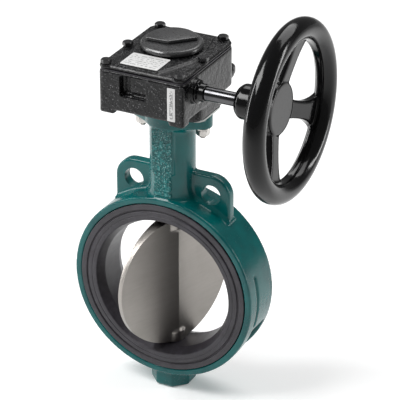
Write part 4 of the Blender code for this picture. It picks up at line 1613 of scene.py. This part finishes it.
@dataclass
class Studio:
    """A pale floor, soft lights and a long lens."""

    azimuth: float = 27.0
    elevation: float = 27.0
    distance: float = 2600.0
    view_width: float = 432.43
    aim: Pair = (28.65, 83.24)
    ring: Triple = (0.0, 0.0, 125.0)
    sensor: float = 36.0
    floor_reach: float = 12000.0

    def camera_axes(self) -> tuple[Array, Array, Array]:
        """The camera's right, up and forward directions.

        Returns:
            Three unit vectors.
        """
        a, e = math.radians(self.azimuth), math.radians(self.elevation)
        right = np.array([math.cos(a), math.sin(a), 0.0])
        forward = np.array([-math.sin(a) * math.cos(e), math.cos(a) * math.cos(e), -math.sin(e)])
        return right, np.cross(right, forward), forward

    def build_camera(self) -> None:
        """Look past the ring's centre, the aim's distance right of it and above, with a long lens."""
        right, up, forward = self.camera_axes()
        eye = np.array(self.ring) - self.distance * forward + self.aim[0] * right + self.aim[1] * up
        data = bpy.data.cameras.new("studio_camera")
        data.sensor_width = self.sensor
        data.lens = self.sensor * self.distance / self.view_width
        data.clip_start, data.clip_end = 0.1, 30.0
        camera = bpy.data.objects.new("studio_camera", data)
        camera.location = Vector(eye) * MM
        camera.rotation_euler = Vector(forward).to_track_quat("-Z", "Y").to_euler()
        bpy.context.scene.collection.objects.link(camera)
        bpy.context.scene.camera = camera

    def build_floor(self) -> None:
        """Lay the floor just under the lower boss."""
        bench = Bench("studio_floor")
        bench.dress(
            base_color=(0.93, 0.93, 0.93), roughness=0.7,
            emission_color=(1.0, 1.0, 1.0), emission_strength=0.2,
        )
        corners = self.floor_reach * np.array([(-1, -1, 0), (1, -1, 0), (1, 1, 0), (-1, 1, 0)])
        floor = write_object("studio_floor", Surface(corners, np.array([[0, 1, 2, 3]])).moved(z=-0.5))
        dress(floor, bench.material)

    def add_light(self, name: str, place: Sequence[float], aim: Sequence[float], size: Sequence[float],
                  power: float) -> None:
        """Add a rectangular soft light, with its place and aim in metres.

        Args:
            name: The light's name.
            place: Where it hangs.
            aim: The point that it faces.
            size: Its width and its height, in metres.
            power: Its power in watts.
        """
        data = bpy.data.lights.new(name, "AREA")
        data.shape = "RECTANGLE"
        data.size, data.size_y = size
        data.energy = power
        light = bpy.data.objects.new(name, data)
        light.location = place
        light.rotation_euler = (Vector(aim) - Vector(place)).to_track_quat("-Z", "Y").to_euler()
        bpy.context.scene.collection.objects.link(light)

    def build_lights(self) -> None:
        """Hang the soft boxes and set a pale surround."""
        world = bpy.data.worlds.new("studio_surround")
        world.use_nodes = True
        background = world.node_tree.nodes["Background"]
        background.inputs[0].default_value = (1.0, 1.0, 1.0, 1.0)
        background.inputs[1].default_value = 0.17
        bpy.context.scene.world = world
        bpy.context.scene.view_settings.view_transform = "Standard"
        middle = (0.05, 0.0, 0.25)
        self.add_light("overhead_box", (0.2, 0.9, 1.7), middle, (1.8, 1.0), 19.0)
        self.add_light("front_box", (-0.75, -0.75, 1.55), middle, (1.0, 0.7), 25.0)
        self.add_light("left_strip", (-1.7, -0.5, 0.8), middle, (0.22, 1.5), 14.0)
        self.add_light("right_strip", (1.5, 0.75, 0.5), middle, (0.2, 1.3), 10.0)

    def build(self) -> None:
        """Build the camera, the floor and the lights."""
        self.build_camera()
        self.build_floor()
        self.build_lights()


def main() -> None:
    """Build every sub-assembly in order."""
    logging.basicConfig(level=logging.INFO, format="%(name)s: %(message)s")
    finishes = Finishes()
    Studio().build()
    for assembly in (ValveBody, Seat, Disc, TopJoint, Gearbox, Drive):
        assembly(finishes).build()
    dress_hidden_nodes(finishes)


if __name__ == "__main__":
    main()
